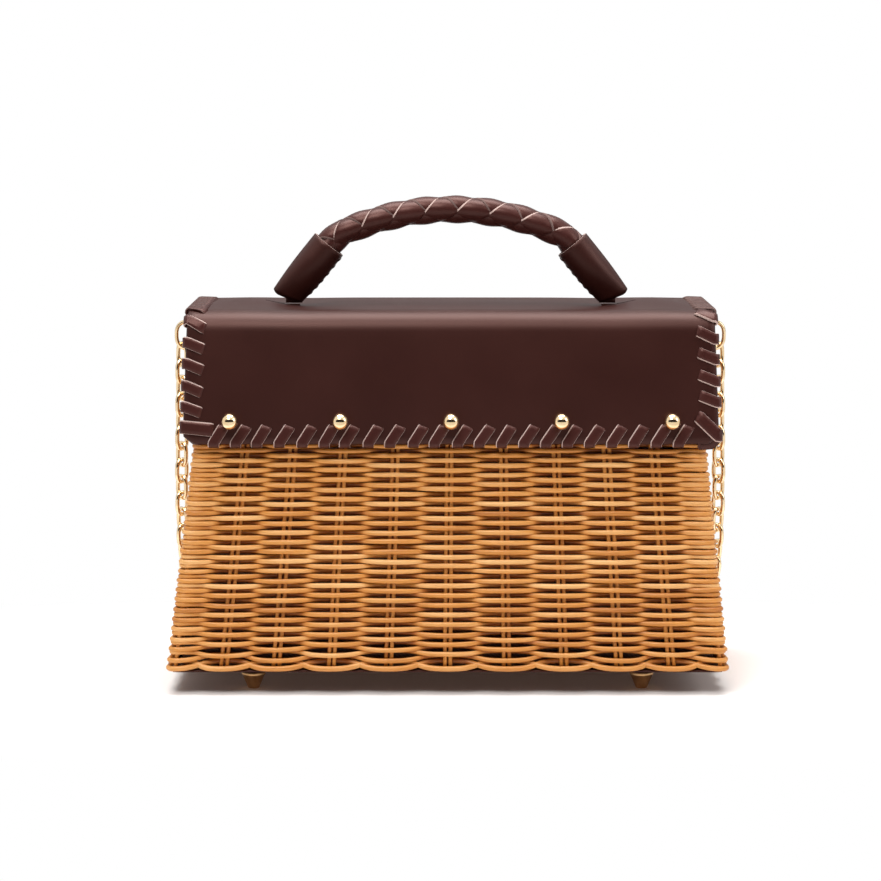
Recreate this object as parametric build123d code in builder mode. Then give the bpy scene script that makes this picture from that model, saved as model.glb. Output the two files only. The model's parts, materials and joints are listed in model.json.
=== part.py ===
"""Rattan handbag: woven basket, laced leather flap, braided handle and chain strap.

Sizes are in millimetres: x runs to the right, y to the back and z up from the floor.
"""
import os
from math import asin, cos, degrees, radians, sin, sqrt, tan

from build123d import *

# Basket wall, measured outside over the reeds.
base_width = 262.0
base_depth = 124.0
rim_width = 228.0
rim_depth = 88.0
wall_height = 157.0
wall_thickness = 6.2
weave_relief = 1.1
row_pitch = 3.2
corner_radius = 6.0
front_stakes = 9
side_stakes = 5
front_span_share = 0.84
side_span_share = 0.78

# Rim hoop, base board, lining and feet.
rim_height = 5.0
rim_lip = 0.7
rim_chamfer = 2.5
board_thickness = 3.4
board_inset = 3.0
lining_thickness = 1.0
lining_gap = 0.6
lining_drop = 1.0
lining_lift = 1.4
foot_height = 8.0
foot_rim_height = 0.9
foot_top_diameter = 11.2
foot_tip_diameter = 5.4
foot_spread_x = 182.0
foot_spread_y = 84.0
prong_width = 3.0
prong_thickness = 0.8
prong_length = 5.0
prong_spacing = 3.2

# Leather flap and back panel.
leather = 2.0
flap_width = 247.0
flap_clearance = 2.0
front_gap = 2.4
back_gap = 1.2
bend_radius = 8.0
flap_drop = 59.7
flap_corner_radius = 5.0
panel_height = 62.0
panel_margin = 5.5
hinge_gap = 0.4

# Lacing.
lace_width = 5.4
lace_thickness = 1.3
lace_depth = 8.6
lace_gap = 0.1
front_stitch_pitch = 10.2
front_slant = 30.0
side_stitch_pitch = 9.4
side_slant = 14.0
hinge_free_length = 5.0

# Ball studs and their washers.
stud_count = 5
stud_clearance = 12.9
stud_height = 11.2
ball_diameter = 7.2
neck_diameter = 4.4
neck_height = 1.4
shank_width = 2.2
washer_diameter = 6.4
washer_thickness = 0.8
ball_bands = 4
ball_cap_angle = 14.0
round_sides = 12
washer_sides = 8

# Magnet discs of the closure.
magnet_diameter = 14.0
magnet_thickness = 0.8
magnet_height = 30.0

# Handle.
handle_foot_spacing = 154.0
sleeve_length = 30.4
sleeve_angle = 51.0
sleeve_top_diameter = 17.0
sleeve_foot_width = 15.4
sleeve_foot_thickness = 8.0
sleeve_foot_angle = 68.0
sleeve_wall = 1.3
shoulder_radius = 22.5
crown_angle = 23.5
pivot_height = 2.0
tongue_width = 10.6
tongue_thickness = 3.0
sleeve_lift = 2.6
braid_radius = 6.0
braid_relief = 0.7
braid_end_radius = 5.9
braid_step = 8.0
braid_columns = 8
braid_insert = 6.0
core_radius = 3.8
core_insert = 13.0
core_gap = 0.3
core_sides = 6
sleeve_middle_share = 0.55
sleeve_round_share = 0.95
anchor_width = 18.0
anchor_depth = 9.0
anchor_thickness = 1.4
anchor_gap = 0.4
slit_gap = 0.3

# Rivets, chain tabs and rings.
rivet_diameter = 6.0
rivet_height = 1.0
rivet_inset_x = 9.0
rivet_inset_z = 9.0
tab_length = 26.0
tab_height = 11.0
tab_overhang = 4.6
tab_wall = 1.1
tab_drop = 17.0
tab_gap = 0.1
ring_wire = 2.0
ring_width = 11.0
ring_height = 16.0
ring_play = 0.3

# Chain strap: the path of its middle line, from the right ring behind the bag to the left ring.
link_pitch = 8.3
link_play = 0.5
link_wire = 2.2
link_width = 8.4
link_roll = 45.0
twisted_links = 9
bend_share = 0.45
chain_points = [
    (132.0, 51.8, 152.8),
    (132.5, 52.5, 112.0),
    (133.2, 54.0, 72.0),
    (131.6, 60.5, 31.0),
    (119.5, 78.0, 5.0),
    (92.0, 96.0, 5.0),
    (56.0, 89.0, 5.0),
    (18.0, 98.0, 5.0),
    (-22.0, 96.0, 5.0),
    (-58.0, 86.0, 5.0),
    (-92.0, 95.0, 5.0),
    (-119.5, 78.0, 5.0),
    (-131.6, 60.5, 31.0),
    (-133.2, 54.0, 72.0),
    (-132.5, 52.5, 112.0),
    (-132.0, 51.8, 152.8),
]

# Cuts run this far past what they cut.
overrun = 4.0

# Heights and half sizes that follow from these.
wall_foot = foot_height + board_thickness
wall_top = wall_foot + wall_height
rim_top = wall_top + rim_height
rows = round(wall_height / row_pitch)
row_height = wall_height / rows
width_slope = (base_width - rim_width) / 2 / wall_height
depth_slope = (base_depth - rim_depth) / 2 / wall_height
corner_cut = corner_radius * (1 - sqrt(1 / 2))


def half_width(z):
    """Half the outside width of the wall at a height."""
    return base_width / 2 - width_slope * (z - wall_foot)


def half_depth(z):
    """Half the outside depth of the wall at a height."""
    return base_depth / 2 - depth_slope * (z - wall_foot)


def wall_ring(z, inset, relief=0.0):
    """Points round the wall with their lift: the stakes of each side, and a corner after each side."""
    hx, hy = half_width(z) - inset, half_depth(z) - inset
    corner = (hx - corner_cut, hy - corner_cut)
    sides = (
        (front_stakes, front_span_share * hx, hy, 0),
        (side_stakes, side_span_share * hy, hx, 90),
        (front_stakes, front_span_share * hx, hy, 180),
        (side_stakes, side_span_share * hy, hx, 270),
    )
    ring = []
    stake = 0
    for count, reach, away, angle in sides:
        turn = Rotation(0, 0, angle)
        for i in range(count):
            lift = relief if stake % 2 == 0 else -relief
            along = reach * (2 * i / (count - 1) - 1)
            ring.append(((turn * Pos(along, -away - lift, z)).position, lift))
            stake += 1
        flat = corner if angle in (0, 180) else corner[::-1]
        ring.append(((turn * Pos(flat[0], -flat[1], z)).position, 0.0))
    return ring


def polygon(points):
    """Closed wire through points."""
    return Wire.make_polygon(points, close=True)


def relief_faces(rings):
    """Flat triangles between rings of points, each quad folded along its two lowest corners."""
    faces = []
    for lower, upper in zip(rings, rings[1:]):
        for j in range(len(lower)):
            a, b = lower[j - 1], lower[j]
            d, c = upper[j - 1], upper[j]
            if a[1] + c[1] < b[1] + d[1]:
                corners = ((a, b, c), (a, c, d))
            else:
                corners = ((a, b, d), (b, c, d))
            for triangle in corners:
                faces.append(Face(polygon([point for point, lift in triangle])))
    return faces


def ringed(rings):
    """Solid with flat facets through rings of points, closed at both ends."""
    faces = relief_faces(rings)
    for ring in (rings[0], rings[-1]):
        faces.append(Face(polygon([point for point, lift in ring])))
    return Solid(Shell(faces))


def round_ring(plane, reach_x, reach_y, sides=round_sides):
    """Points round an ellipse on a plane."""
    ring = []
    for side in range(sides):
        turn = radians(360 * (side + 1 / 2) / sides)
        ring.append((plane.from_local_coords(Vector(reach_x * cos(turn), reach_y * sin(turn), 0)), 0.0))
    return ring


def corner_ring(level, inset, rise=0.0):
    """The corners of the wall's ring at a level, raised by a height."""
    ring = wall_ring(level, inset)
    corners = []
    start = 0
    for count in (front_stakes, side_stakes, front_stakes, side_stakes):
        for place in (start, start + count - 1, start + count):
            corners.append((ring[place][0] + Vector(0, 0, rise), 0.0))
        start += count + 1
    return corners


# Woven wall: every other reed stands out at every other stake, row by row.
woven = []
for row in range(rows + 1):
    swing = weave_relief if row % 2 == 0 else -weave_relief
    woven.append(wall_ring(wall_foot + row * row_height, weave_relief, swing))
plain = [wall_ring(wall_foot, wall_thickness), wall_ring(wall_top, wall_thickness)]
wall_faces = relief_faces(woven) + relief_faces(plain)
for outer, inner in ((woven[0], plain[0]), (woven[-1], plain[-1])):
    edge = polygon([point for point, lift in outer])
    hole = polygon([point for point, lift in inner])
    wall_faces.append(Face(edge, [hole]))
with BuildPart() as wicker_wall:
    add(Solid(Shell(wall_faces)))

# Rim hoop on top of the wall.
rim_shoulder = rim_height - rim_chamfer
with BuildPart() as rim_hoop:
    add(
        ringed(
            [
                corner_ring(wall_top, -rim_lip),
                corner_ring(wall_top, -rim_lip, rim_shoulder),
                corner_ring(wall_top, rim_chamfer - rim_lip, rim_height),
            ]
        )
    )
    add(
        ringed(
            [
                corner_ring(wall_top, wall_thickness + rim_lip, -overrun),
                corner_ring(wall_top, wall_thickness + rim_lip, rim_height + overrun),
            ]
        ),
        mode=Mode.SUBTRACT,
    )

# Feet, each with two prongs bent over inside the board.
foot_radius = foot_top_diameter / 2
with BuildPart() as foot:
    add(
        ringed(
            [
                round_ring(Plane.XY, foot_tip_diameter / 2, foot_tip_diameter / 2),
                round_ring(Plane.XY.offset(foot_height - foot_rim_height), foot_radius, foot_radius),
                round_ring(Plane.XY.offset(foot_height), foot_radius, foot_radius),
            ]
        )
    )
    with BuildSketch(Plane.XZ):
        with BuildLine():
            Polyline(
                (prong_spacing / 2, foot_height - foot_rim_height),
                (prong_spacing / 2 + prong_thickness, foot_height - foot_rim_height),
                (prong_spacing / 2 + prong_thickness, wall_foot),
                (prong_spacing / 2 + prong_length, wall_foot),
                (prong_spacing / 2 + prong_length, wall_foot + prong_thickness),
                (prong_spacing / 2, wall_foot + prong_thickness),
                close=True,
            )
        make_face()
        mirror(about=Plane.YZ)
    extrude(amount=prong_width / 2, both=True)
with BuildPart() as feet:
    with GridLocations(foot_spread_x, foot_spread_y, 2, 2):
        add(foot.part)

# Base board with slots for the prongs.
slot_width = prong_thickness + 2 * slit_gap
slot_centre = (prong_spacing + prong_thickness) / 2
with BuildPart() as base_board:
    add(ringed([corner_ring(wall_foot, board_inset, -board_thickness), corner_ring(wall_foot, board_inset)]))
    with BuildSketch(Plane.XY.offset(wall_foot)):
        with GridLocations(foot_spread_x, foot_spread_y, 2, 2):
            with GridLocations(2 * slot_centre, 0, 2, 1):
                Rectangle(slot_width, prong_width + 2 * slit_gap)
    extrude(amount=board_thickness + overrun, both=True, mode=Mode.SUBTRACT)

# Lining: a thin bag that follows the inside of the wall.
lining_foot = wall_foot + lining_lift
lining_top = wall_top - lining_drop
lining_inset = wall_thickness + lining_gap
with BuildPart() as lining:
    add(ringed([corner_ring(lining_foot, lining_inset), corner_ring(lining_top, lining_inset)]))
    add(
        ringed(
            [
                corner_ring(lining_foot + lining_thickness, lining_inset + lining_thickness),
                corner_ring(lining_top + overrun, lining_inset + lining_thickness),
            ]
        ),
        mode=Mode.SUBTRACT,
    )

# Leather flap: flat over the rim, bent down in front, with a round rear edge on the hinge line.
hinge_z = rim_top + flap_clearance + leather / 2
hinge_y = half_depth(hinge_z) + back_gap + leather / 2
crease_y = -half_depth(hinge_z) - front_gap - leather / 2
edge_z = hinge_z - flap_drop
edge_y = -half_depth(edge_z) - front_gap - leather / 2
flap_top = hinge_z + leather / 2
panel_width = flap_width - 2 * panel_margin
stud_pitch = (flap_width - 2 * (lace_depth + stud_clearance)) / (stud_count - 1)
hinge_point = (hinge_y, hinge_z)
crease_point = (crease_y, hinge_z)
edge_point = (edge_y, edge_z)


def flap_section(thickness):
    """Side view of the flap at a thickness."""
    line = FilletPolyline(hinge_point, crease_point, edge_point, radius=bend_radius)
    return make_face(offset(line, amount=thickness / 2))


drop_vector = Vector(0, edge_y - crease_y, edge_z - hinge_z).normalized()
drop_normal = Vector(1, 0, 0).cross(drop_vector).normalized()
drop_normal = drop_normal if drop_normal.Y < 0 else -drop_normal
edge_plane = Plane(origin=(0, edge_y, edge_z), x_dir=(1, 0, 0), z_dir=drop_normal)
stud_plane = Plane(
    origin=edge_plane.origin - drop_vector * stud_height + drop_normal * (leather / 2),
    x_dir=(1, 0, 0),
    z_dir=drop_normal,
)
foot_x = handle_foot_spacing / 2
slit_length = tongue_width + 2 * slit_gap
slit_width = tongue_thickness + 2 * slit_gap
rail_inner = leather + 2 * lace_gap
rail_outer = rail_inner + 2 * lace_thickness
leather_section = flap_section(leather)
inner_section = flap_section(rail_inner)
outer_section = flap_section(rail_outer)

with BuildPart() as flap:
    with BuildSketch(Plane.YZ):
        add(leather_section)
    extrude(amount=flap_width / 2, both=True)
    with BuildSketch(Plane.XZ):
        with Locations((0, edge_z - leather)):
            RectangleRounded(
                flap_width, 2 * (flap_drop + 2 * leather), flap_corner_radius, align=(Align.CENTER, Align.MIN)
            )
    extrude(amount=base_depth, both=True, mode=Mode.INTERSECT)
    with BuildSketch(Plane.XY.offset(hinge_z)):
        with GridLocations(handle_foot_spacing, 0, 2, 1):
            Rectangle(slit_length, slit_width)
    extrude(amount=overrun, both=True, mode=Mode.SUBTRACT)
    with BuildSketch(stud_plane):
        with GridLocations(stud_pitch, 0, stud_count, 1):
            Rectangle(shank_width + 2 * lace_gap, shank_width + 2 * lace_gap)
    extrude(amount=-leather - overrun, mode=Mode.SUBTRACT)

# Lacing along the front edge: a folded rail cut into slanted stitches.
edge_reach = leather / 2 + lace_gap
front_reach = flap_width / 2 - lace_depth - lace_width
front_stitches = int(2 * front_reach / front_stitch_pitch)
slant = tan(radians(front_slant))
lean_up = lace_depth * slant
lean_down = (edge_reach + overrun) * slant
rail_plane = Plane(origin=(0, edge_y, edge_z), x_dir=drop_normal, z_dir=(1, 0, 0))
rail_up = 1 if rail_plane.y_dir.Z > 0 else -1
with BuildPart() as front_stripes:
    with BuildSketch(edge_plane):
        with GridLocations(front_stitch_pitch, 0, front_stitches, 1):
            Polygon(
                (-lace_width / 2 - lean_down, -edge_reach - overrun),
                (lace_width / 2 - lean_down, -edge_reach - overrun),
                (lace_width / 2 + lean_up, lace_depth),
                (-lace_width / 2 + lean_up, lace_depth),
                align=None,
            )
    extrude(amount=rail_outer, both=True)
with BuildPart() as front_lacing:
    with BuildSketch(rail_plane):
        with BuildLine():
            Polyline(
                (-rail_outer / 2, rail_up * lace_depth),
                (-rail_outer / 2, -rail_up * (edge_reach + lace_thickness)),
                (rail_outer / 2, -rail_up * (edge_reach + lace_thickness)),
                (rail_outer / 2, rail_up * lace_depth),
                (rail_inner / 2, rail_up * lace_depth),
                (rail_inner / 2, -rail_up * edge_reach),
                (-rail_inner / 2, -rail_up * edge_reach),
                (-rail_inner / 2, rail_up * lace_depth),
                close=True,
            )
        make_face()
    extrude(amount=flap_width / 2, both=True)
    add(front_stripes.part, mode=Mode.INTERSECT)

# Lacing along the side edges: a rail that follows the flap, cut into stitches across it.
side_line = FilletPolyline(hinge_point, crease_point, edge_point, radius=bend_radius)
side_length = side_line.length
side_stitches = int((side_length - hinge_free_length) / side_stitch_pitch)
side_in = flap_width / 2 - lace_depth
side_out = flap_width / 2 + lace_gap + lace_thickness
stripe_length = 2 * (lace_depth + overrun)
with BuildPart() as side_stripes:
    for stitch in range(side_stitches):
        along = (hinge_free_length + lace_width / 2 + stitch * side_stitch_pitch) / side_length
        spot = side_line.position_at(along)
        course = side_line.tangent_at(along)
        across = Plane(
            origin=((side_in + side_out) / 2, spot.X, spot.Y),
            x_dir=(1, 0, 0),
            z_dir=(0, -course.Y, course.X),
        )
        with BuildSketch(across):
            Rectangle(stripe_length, lace_width, rotation=side_slant)
        extrude(amount=rail_outer, both=True)
with BuildPart() as right_lacing:
    with BuildSketch(Plane.YZ.offset(side_in)):
        add(outer_section)
    extrude(amount=side_out - side_in)
    with BuildSketch(Plane.YZ.offset(side_in)):
        add(inner_section)
    extrude(amount=flap_width / 2 + lace_gap - side_in, mode=Mode.SUBTRACT)
    add(side_stripes.part, mode=Mode.INTERSECT)
with BuildPart() as left_lacing:
    add(right_lacing.part)
    mirror(about=Plane.YZ, mode=Mode.REPLACE)

# Ball studs with square shanks, and washers behind the leather.
ball_radius = ball_diameter / 2
ball_centre = neck_height + sqrt(ball_diameter**2 - neck_diameter**2) / 2
neck_angle = 180 - degrees(asin(neck_diameter / ball_diameter))
stud_rings = [round_ring(Plane.XY, neck_diameter / 2, neck_diameter / 2)]
for band in range(ball_bands + 1):
    turn = radians(neck_angle + (ball_cap_angle - neck_angle) * band / ball_bands)
    level = Plane.XY.offset(ball_centre + ball_radius * cos(turn))
    stud_rings.append(round_ring(level, ball_radius * sin(turn), ball_radius * sin(turn)))
with BuildPart() as stud:
    add(ringed(stud_rings))
    with BuildSketch(Plane.XY):
        Rectangle(shank_width, shank_width)
    extrude(amount=-leather)
with BuildPart(stud_plane) as ball_studs:
    with GridLocations(stud_pitch, 0, stud_count, 1):
        add(stud.part)
with BuildPart() as stud_washers:
    with BuildSketch(stud_plane.offset(-leather - lace_gap)):
        with GridLocations(stud_pitch, 0, stud_count, 1):
            RegularPolygon(washer_diameter / 2, washer_sides)
    extrude(amount=-washer_thickness)

# Magnet discs: one behind the flap, one on the weave below it.
magnet_point = edge_plane.origin - drop_vector * magnet_height
flap_magnet_plane = Plane(
    origin=magnet_point - drop_normal * (leather / 2 + lace_gap), x_dir=(1, 0, 0), z_dir=drop_normal
)
weave_point = Vector(0, -half_depth(magnet_point.Z), magnet_point.Z)
basket_magnet_plane = Plane(origin=weave_point + drop_normal * lace_gap, x_dir=(1, 0, 0), z_dir=drop_normal)
with BuildPart() as flap_magnet:
    with BuildSketch(flap_magnet_plane):
        RegularPolygon(magnet_diameter / 2, round_sides)
    extrude(amount=-magnet_thickness)
with BuildPart() as basket_magnet:
    with BuildSketch(basket_magnet_plane):
        RegularPolygon(magnet_diameter / 2, round_sides)
    extrude(amount=magnet_thickness)

# Handle line: straight in the sleeves, tight shoulders and a wide crown.
pivot_z = flap_top + pivot_height
sleeve_foot = Vector(-foot_x, 0, pivot_z + sleeve_lift)
sleeve_way = Vector(cos(radians(sleeve_angle)), 0, sin(radians(sleeve_angle)))
sleeve_top = sleeve_foot + sleeve_way * sleeve_length
shoulder_centre = sleeve_top + Vector(sleeve_way.Z, 0, -sleeve_way.X) * shoulder_radius
crown_normal = Vector(-sin(radians(crown_angle)), 0, cos(radians(crown_angle)))
crown_start = shoulder_centre + crown_normal * shoulder_radius
middle_angle = radians((sleeve_angle + crown_angle) / 2)
shoulder_middle = shoulder_centre + Vector(-sin(middle_angle), 0, cos(middle_angle)) * shoulder_radius
crown_rise = -crown_start.X * tan(radians(crown_angle / 2))
crown_top = Vector(0, 0, crown_start.Z + crown_rise)


def handle_line(insert):
    """Middle line of the handle, from inside one sleeve to inside the other."""
    start = sleeve_top - sleeve_way * insert
    left = [
        Edge.make_line(start, sleeve_top),
        Edge.make_three_point_arc(sleeve_top, shoulder_middle, crown_start),
    ]
    crown = Edge.make_three_point_arc(crown_start, crown_top, Vector(-crown_start.X, 0, crown_start.Z))
    right = [
        Edge.make_three_point_arc(
            Vector(-crown_start.X, 0, crown_start.Z),
            Vector(-shoulder_middle.X, 0, shoulder_middle.Z),
            Vector(-sleeve_top.X, 0, sleeve_top.Z),
        ),
        Edge.make_line(Vector(-sleeve_top.X, 0, sleeve_top.Z), Vector(-start.X, 0, start.Z)),
    ]
    return Wire(left + [crown] + right)


def handle_rings(line, radius, steps):
    """Six-sided rings along the handle line."""
    rings = []
    for step in range(steps + 1):
        level = Plane(origin=line @ (step / steps), x_dir=(0, 1, 0), z_dir=line % (step / steps))
        rings.append(round_ring(level, radius, radius, core_sides))
    return rings


# Rope core inside the braid.
core_line = handle_line(core_insert)
core_steps = round(core_line.length / braid_step)
with BuildPart() as handle_core:
    add(ringed(handle_rings(core_line, core_radius, core_steps)))

# Braid: strands stand out by turns on the front and back and on the top and underside.
braid_line = handle_line(braid_insert)
braid_steps = 2 * round(braid_line.length / braid_step / 2)
braid_rings = []
for step in range(braid_steps + 1):
    centre = braid_line @ (step / braid_steps)
    course = braid_line % (step / braid_steps)
    up = course.cross(Vector(0, 1, 0))
    up = up if up.Z > 0 else -up
    ring = []
    for column in range(braid_columns):
        turn = 360 * column / braid_columns
        quarter = 4 * column / braid_columns
        lift = 0.0
        if quarter == int(quarter):
            lift = braid_relief if (quarter + step) % 2 == 0 else -braid_relief
        radius = braid_radius + lift
        if step in (0, braid_steps):
            radius = braid_end_radius
        reach = Vector(0, -cos(radians(turn)), 0) + up * sin(radians(turn))
        ring.append((centre + reach * radius, lift))
    braid_rings.append(ring)
braid_faces = relief_faces(braid_rings)
for ring in (braid_rings[0], braid_rings[-1]):
    braid_faces.append(Face(polygon([point for point, lift in ring])))
with BuildPart() as handle_braid:
    add(Solid(Shell(braid_faces)))
    add(ringed(handle_rings(core_line, core_radius + core_gap, core_steps)), mode=Mode.SUBTRACT)

# Sleeves: round at the braid, pressed flat at the foot, with a round-nosed tongue on the fold line.
sleeve_foot_plane = Plane(
    origin=sleeve_foot,
    x_dir=(0, 1, 0),
    z_dir=(cos(radians(sleeve_foot_angle)), 0, sin(radians(sleeve_foot_angle))),
)
sleeve_top_plane = Plane(origin=sleeve_top, x_dir=(0, 1, 0), z_dir=sleeve_way)
sleeve_middle_plane = sleeve_top_plane.offset(sleeve_length * (sleeve_middle_share - 1))
sleeve_radius = sleeve_top_diameter / 2
middle_radius = sleeve_radius * sleeve_round_share
bore_radius = sleeve_radius - sleeve_wall
with BuildPart() as sleeve_left:
    add(
        ringed(
            [
                round_ring(sleeve_foot_plane, sleeve_foot_thickness / 2, sleeve_foot_width / 2),
                round_ring(sleeve_middle_plane, middle_radius, middle_radius),
                round_ring(sleeve_top_plane, sleeve_radius, sleeve_radius),
            ]
        )
    )
    add(
        ringed(
            [
                round_ring(
                    sleeve_foot_plane.offset(sleeve_wall),
                    sleeve_foot_thickness / 2 - sleeve_wall,
                    sleeve_foot_width / 2 - sleeve_wall,
                ),
                round_ring(sleeve_middle_plane, middle_radius - sleeve_wall, middle_radius - sleeve_wall),
                round_ring(sleeve_top_plane, bore_radius, bore_radius),
                round_ring(sleeve_top_plane.offset(overrun), bore_radius, bore_radius),
            ]
        ),
        mode=Mode.SUBTRACT,
    )
    with BuildSketch(Plane.YZ.offset(-foot_x)):
        with BuildLine():
            Polyline(
                (-tongue_thickness / 2, pivot_z),
                (-tongue_thickness / 2, pivot_z + sleeve_lift),
                (tongue_thickness / 2, pivot_z + sleeve_lift),
                (tongue_thickness / 2, pivot_z),
                close=True,
            )
        make_face()
        with Locations((0, pivot_z)):
            Circle(tongue_thickness / 2)
    extrude(amount=tongue_width / 2, both=True)
with BuildPart() as sleeve_right:
    add(sleeve_left.part)
    mirror(about=Plane.YZ, mode=Mode.REPLACE)

# Anchors: a tab in each slit on a plate under the flap.
anchor_top = pivot_z - tongue_thickness / 2 - anchor_gap
with BuildPart() as anchor_left:
    with BuildSketch(Plane.XY.offset(hinge_z - leather / 2 - lace_gap)):
        with Locations((-foot_x, 0)):
            Rectangle(anchor_width, anchor_depth)
    extrude(amount=-anchor_thickness)
    with BuildSketch(Plane.XY.offset(hinge_z - leather / 2 - lace_gap)):
        with Locations((-foot_x, 0)):
            Rectangle(tongue_width, tongue_thickness)
    extrude(amount=anchor_top - hinge_z + leather / 2 + lace_gap)
with BuildPart() as anchor_right:
    add(anchor_left.part)
    mirror(about=Plane.YZ, mode=Mode.REPLACE)

# Back panel: lies on the back of the weave and ends under the hinge line.
panel_top = hinge_z - leather / 2 - hinge_gap
panel_foot = panel_top - panel_height


def panel_y(z, out):
    """Distance to the back of the panel's inner face at a height, moved out by a length."""
    return half_depth(z) + back_gap + out


back_way = Vector(0, panel_y(panel_top, 0) - panel_y(panel_foot, 0), panel_height).normalized()
back_normal = Vector(0, back_way.Z, -back_way.Y)
back_plane = Plane(origin=(0, panel_y(panel_top, leather), panel_top), x_dir=(-1, 0, 0), z_dir=back_normal)
rivet_x = panel_width / 2 - rivet_inset_x
rivet_low = panel_height - rivet_inset_z
tab_x = flap_width / 2 + tab_overhang - tab_length / 2
tab_rivet_x = tab_x - tab_length / 2 + rivet_diameter
with BuildPart() as back_panel:
    with BuildSketch(Plane.YZ):
        with BuildLine():
            Polyline(
                (panel_y(panel_foot, 0), panel_foot),
                (panel_y(panel_foot, leather), panel_foot),
                (panel_y(panel_top, leather), panel_top),
                (panel_y(panel_top, 0), panel_top),
                close=True,
            )
        make_face()
    extrude(amount=panel_width / 2, both=True)
    with BuildSketch(back_plane):
        with Locations((rivet_x, -rivet_low), (-rivet_x, -rivet_low)):
            Rectangle(shank_width + 2 * lace_gap, shank_width + 2 * lace_gap)
        with Locations((tab_rivet_x, -tab_drop), (-tab_rivet_x, -tab_drop)):
            Rectangle(shank_width + 2 * lace_gap, shank_width + 2 * lace_gap)
    extrude(amount=overrun, both=True, mode=Mode.SUBTRACT)

# Rivets of the panel.
with BuildPart() as panel_rivets:
    with BuildSketch(back_plane.offset(tab_gap)):
        with Locations((rivet_x, -rivet_low), (-rivet_x, -rivet_low)):
            RegularPolygon(rivet_diameter / 2, round_sides)
    extrude(amount=rivet_height)
    with BuildSketch(back_plane.offset(tab_gap)):
        with Locations((rivet_x, -rivet_low), (-rivet_x, -rivet_low)):
            Rectangle(shank_width, shank_width)
    extrude(amount=-leather - back_gap / 2)

# Chain tabs: folded leather round the bar of each ring, riveted to the panel.
ring_slot = ring_wire + 2 * ring_play
tab_thickness = ring_slot + 2 * tab_wall
bar_x = tab_x + tab_length / 2 - tab_wall - ring_slot / 2
tab_foot = back_plane.origin - back_way * (tab_drop + tab_height / 2)
tab_base = Plane(origin=tab_foot + back_normal * tab_gap, x_dir=(1, 0, 0), z_dir=back_way)
tab_side = 1 if tab_base.y_dir.Y > 0 else -1
with BuildPart() as tab_right:
    with BuildSketch(tab_base):
        with Locations((tab_x, tab_side * tab_thickness / 2)):
            Rectangle(tab_length, tab_thickness)
        with Locations((bar_x, tab_side * tab_thickness / 2)):
            Rectangle(ring_slot, ring_slot, mode=Mode.SUBTRACT)
        with Locations((tab_rivet_x, tab_side * tab_thickness)):
            Rectangle(rivet_diameter + 2 * ring_play, 2 * (tab_thickness - leather), mode=Mode.SUBTRACT)
    extrude(amount=tab_height)
    with BuildSketch(back_plane):
        with Locations((tab_rivet_x, -tab_drop), (-tab_rivet_x, -tab_drop)):
            Rectangle(shank_width + 2 * lace_gap, shank_width + 2 * lace_gap)
    extrude(amount=overrun, both=True, mode=Mode.SUBTRACT)
with BuildPart() as tab_left:
    add(tab_right.part)
    mirror(about=Plane.YZ, mode=Mode.REPLACE)
with BuildPart() as tab_rivets:
    with BuildSketch(back_plane.offset(2 * tab_gap + leather)):
        with Locations((tab_rivet_x, -tab_drop), (-tab_rivet_x, -tab_drop)):
            RegularPolygon(rivet_diameter / 2, round_sides)
    extrude(amount=rivet_height)
    with BuildSketch(back_plane.offset(2 * tab_gap + leather)):
        with Locations((tab_rivet_x, -tab_drop), (-tab_rivet_x, -tab_drop)):
            Rectangle(shank_width, shank_width)
    extrude(amount=-2 * leather - back_gap / 2)

# Rings of the chain: a straight bar in the tab and a bow outside it.
ring_plane = Plane(
    origin=back_plane.origin - back_way * tab_drop + back_normal * (tab_gap + tab_thickness / 2),
    x_dir=(1, 0, 0),
    z_dir=-back_normal,
)
ring_x = bar_x - ring_wire / 2 + ring_width / 2
with BuildPart() as ring_right:
    with BuildSketch(ring_plane) as ring_sketch:
        with Locations((ring_x, 0)):
            Rectangle(ring_width, ring_height)
        chamfer(ring_sketch.vertices().sort_by(Axis.X)[-2:], ring_wire)
        with Locations((ring_x, 0)):
            Rectangle(ring_width - 2 * ring_wire, ring_height - 2 * ring_wire, mode=Mode.SUBTRACT)
    extrude(amount=ring_wire / 2, both=True)
with BuildPart() as ring_left:
    add(ring_right.part)
    mirror(about=Plane.YZ, mode=Mode.REPLACE)

# Chain strap.
def chain_route():
    """Straight runs joined by tangent arcs through the chain points."""
    points = [Vector(*point) for point in chain_points]
    edges = []
    start = points[0]
    for before, corner, after in zip(points, points[1:], points[2:]):
        back, on = before - corner, after - corner
        trim = bend_share * min(back.length, on.length)
        first = corner + back.normalized() * trim
        last = corner + on.normalized() * trim
        edges.append(Edge.make_line(start, first))
        edges.append(Edge.make_tangent_arc(first, corner - first, last))
        start = last
    edges.append(Edge.make_line(start, points[-1]))
    return Wire(edges)


route = chain_route()
link_inside = link_pitch + link_play
link_count = 2 * int(route.length / link_pitch / 2) + 1
with BuildPart() as link:
    with BuildSketch(Plane.XZ):
        Rectangle(link_width, link_inside + 2 * link_wire)
        Rectangle(link_width - 2 * link_wire, link_inside, mode=Mode.SUBTRACT)
    extrude(amount=link_wire / 2, both=True)
link_shares = [(count + 1 / 2) / link_count for count in range(link_count)]
sides = [Vector(1, 0, 0)]
for share in link_shares[1:]:
    course = route % share
    sides.append((sides[-1] - course * sides[-1].dot(course)).normalized())
end_turn = sides[-1].get_signed_angle(Vector(1, 0, 0), route % 1)
end_turn = end_turn - 180 * round(end_turn / 180)
link_spots = []
for count, share in enumerate(link_shares):
    from_end = min(count, link_count - 1 - count)
    twist = link_roll * min(from_end / twisted_links, 1) + end_turn * share
    frame = Plane(origin=route @ share, x_dir=sides[count], z_dir=route % share)
    link_spots.append(frame.location * Rotation(0, 0, twist + 90 * (count % 2 + 1)))
with BuildPart() as chain_strap:
    with Locations(*link_spots):
        add(link.part)

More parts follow.
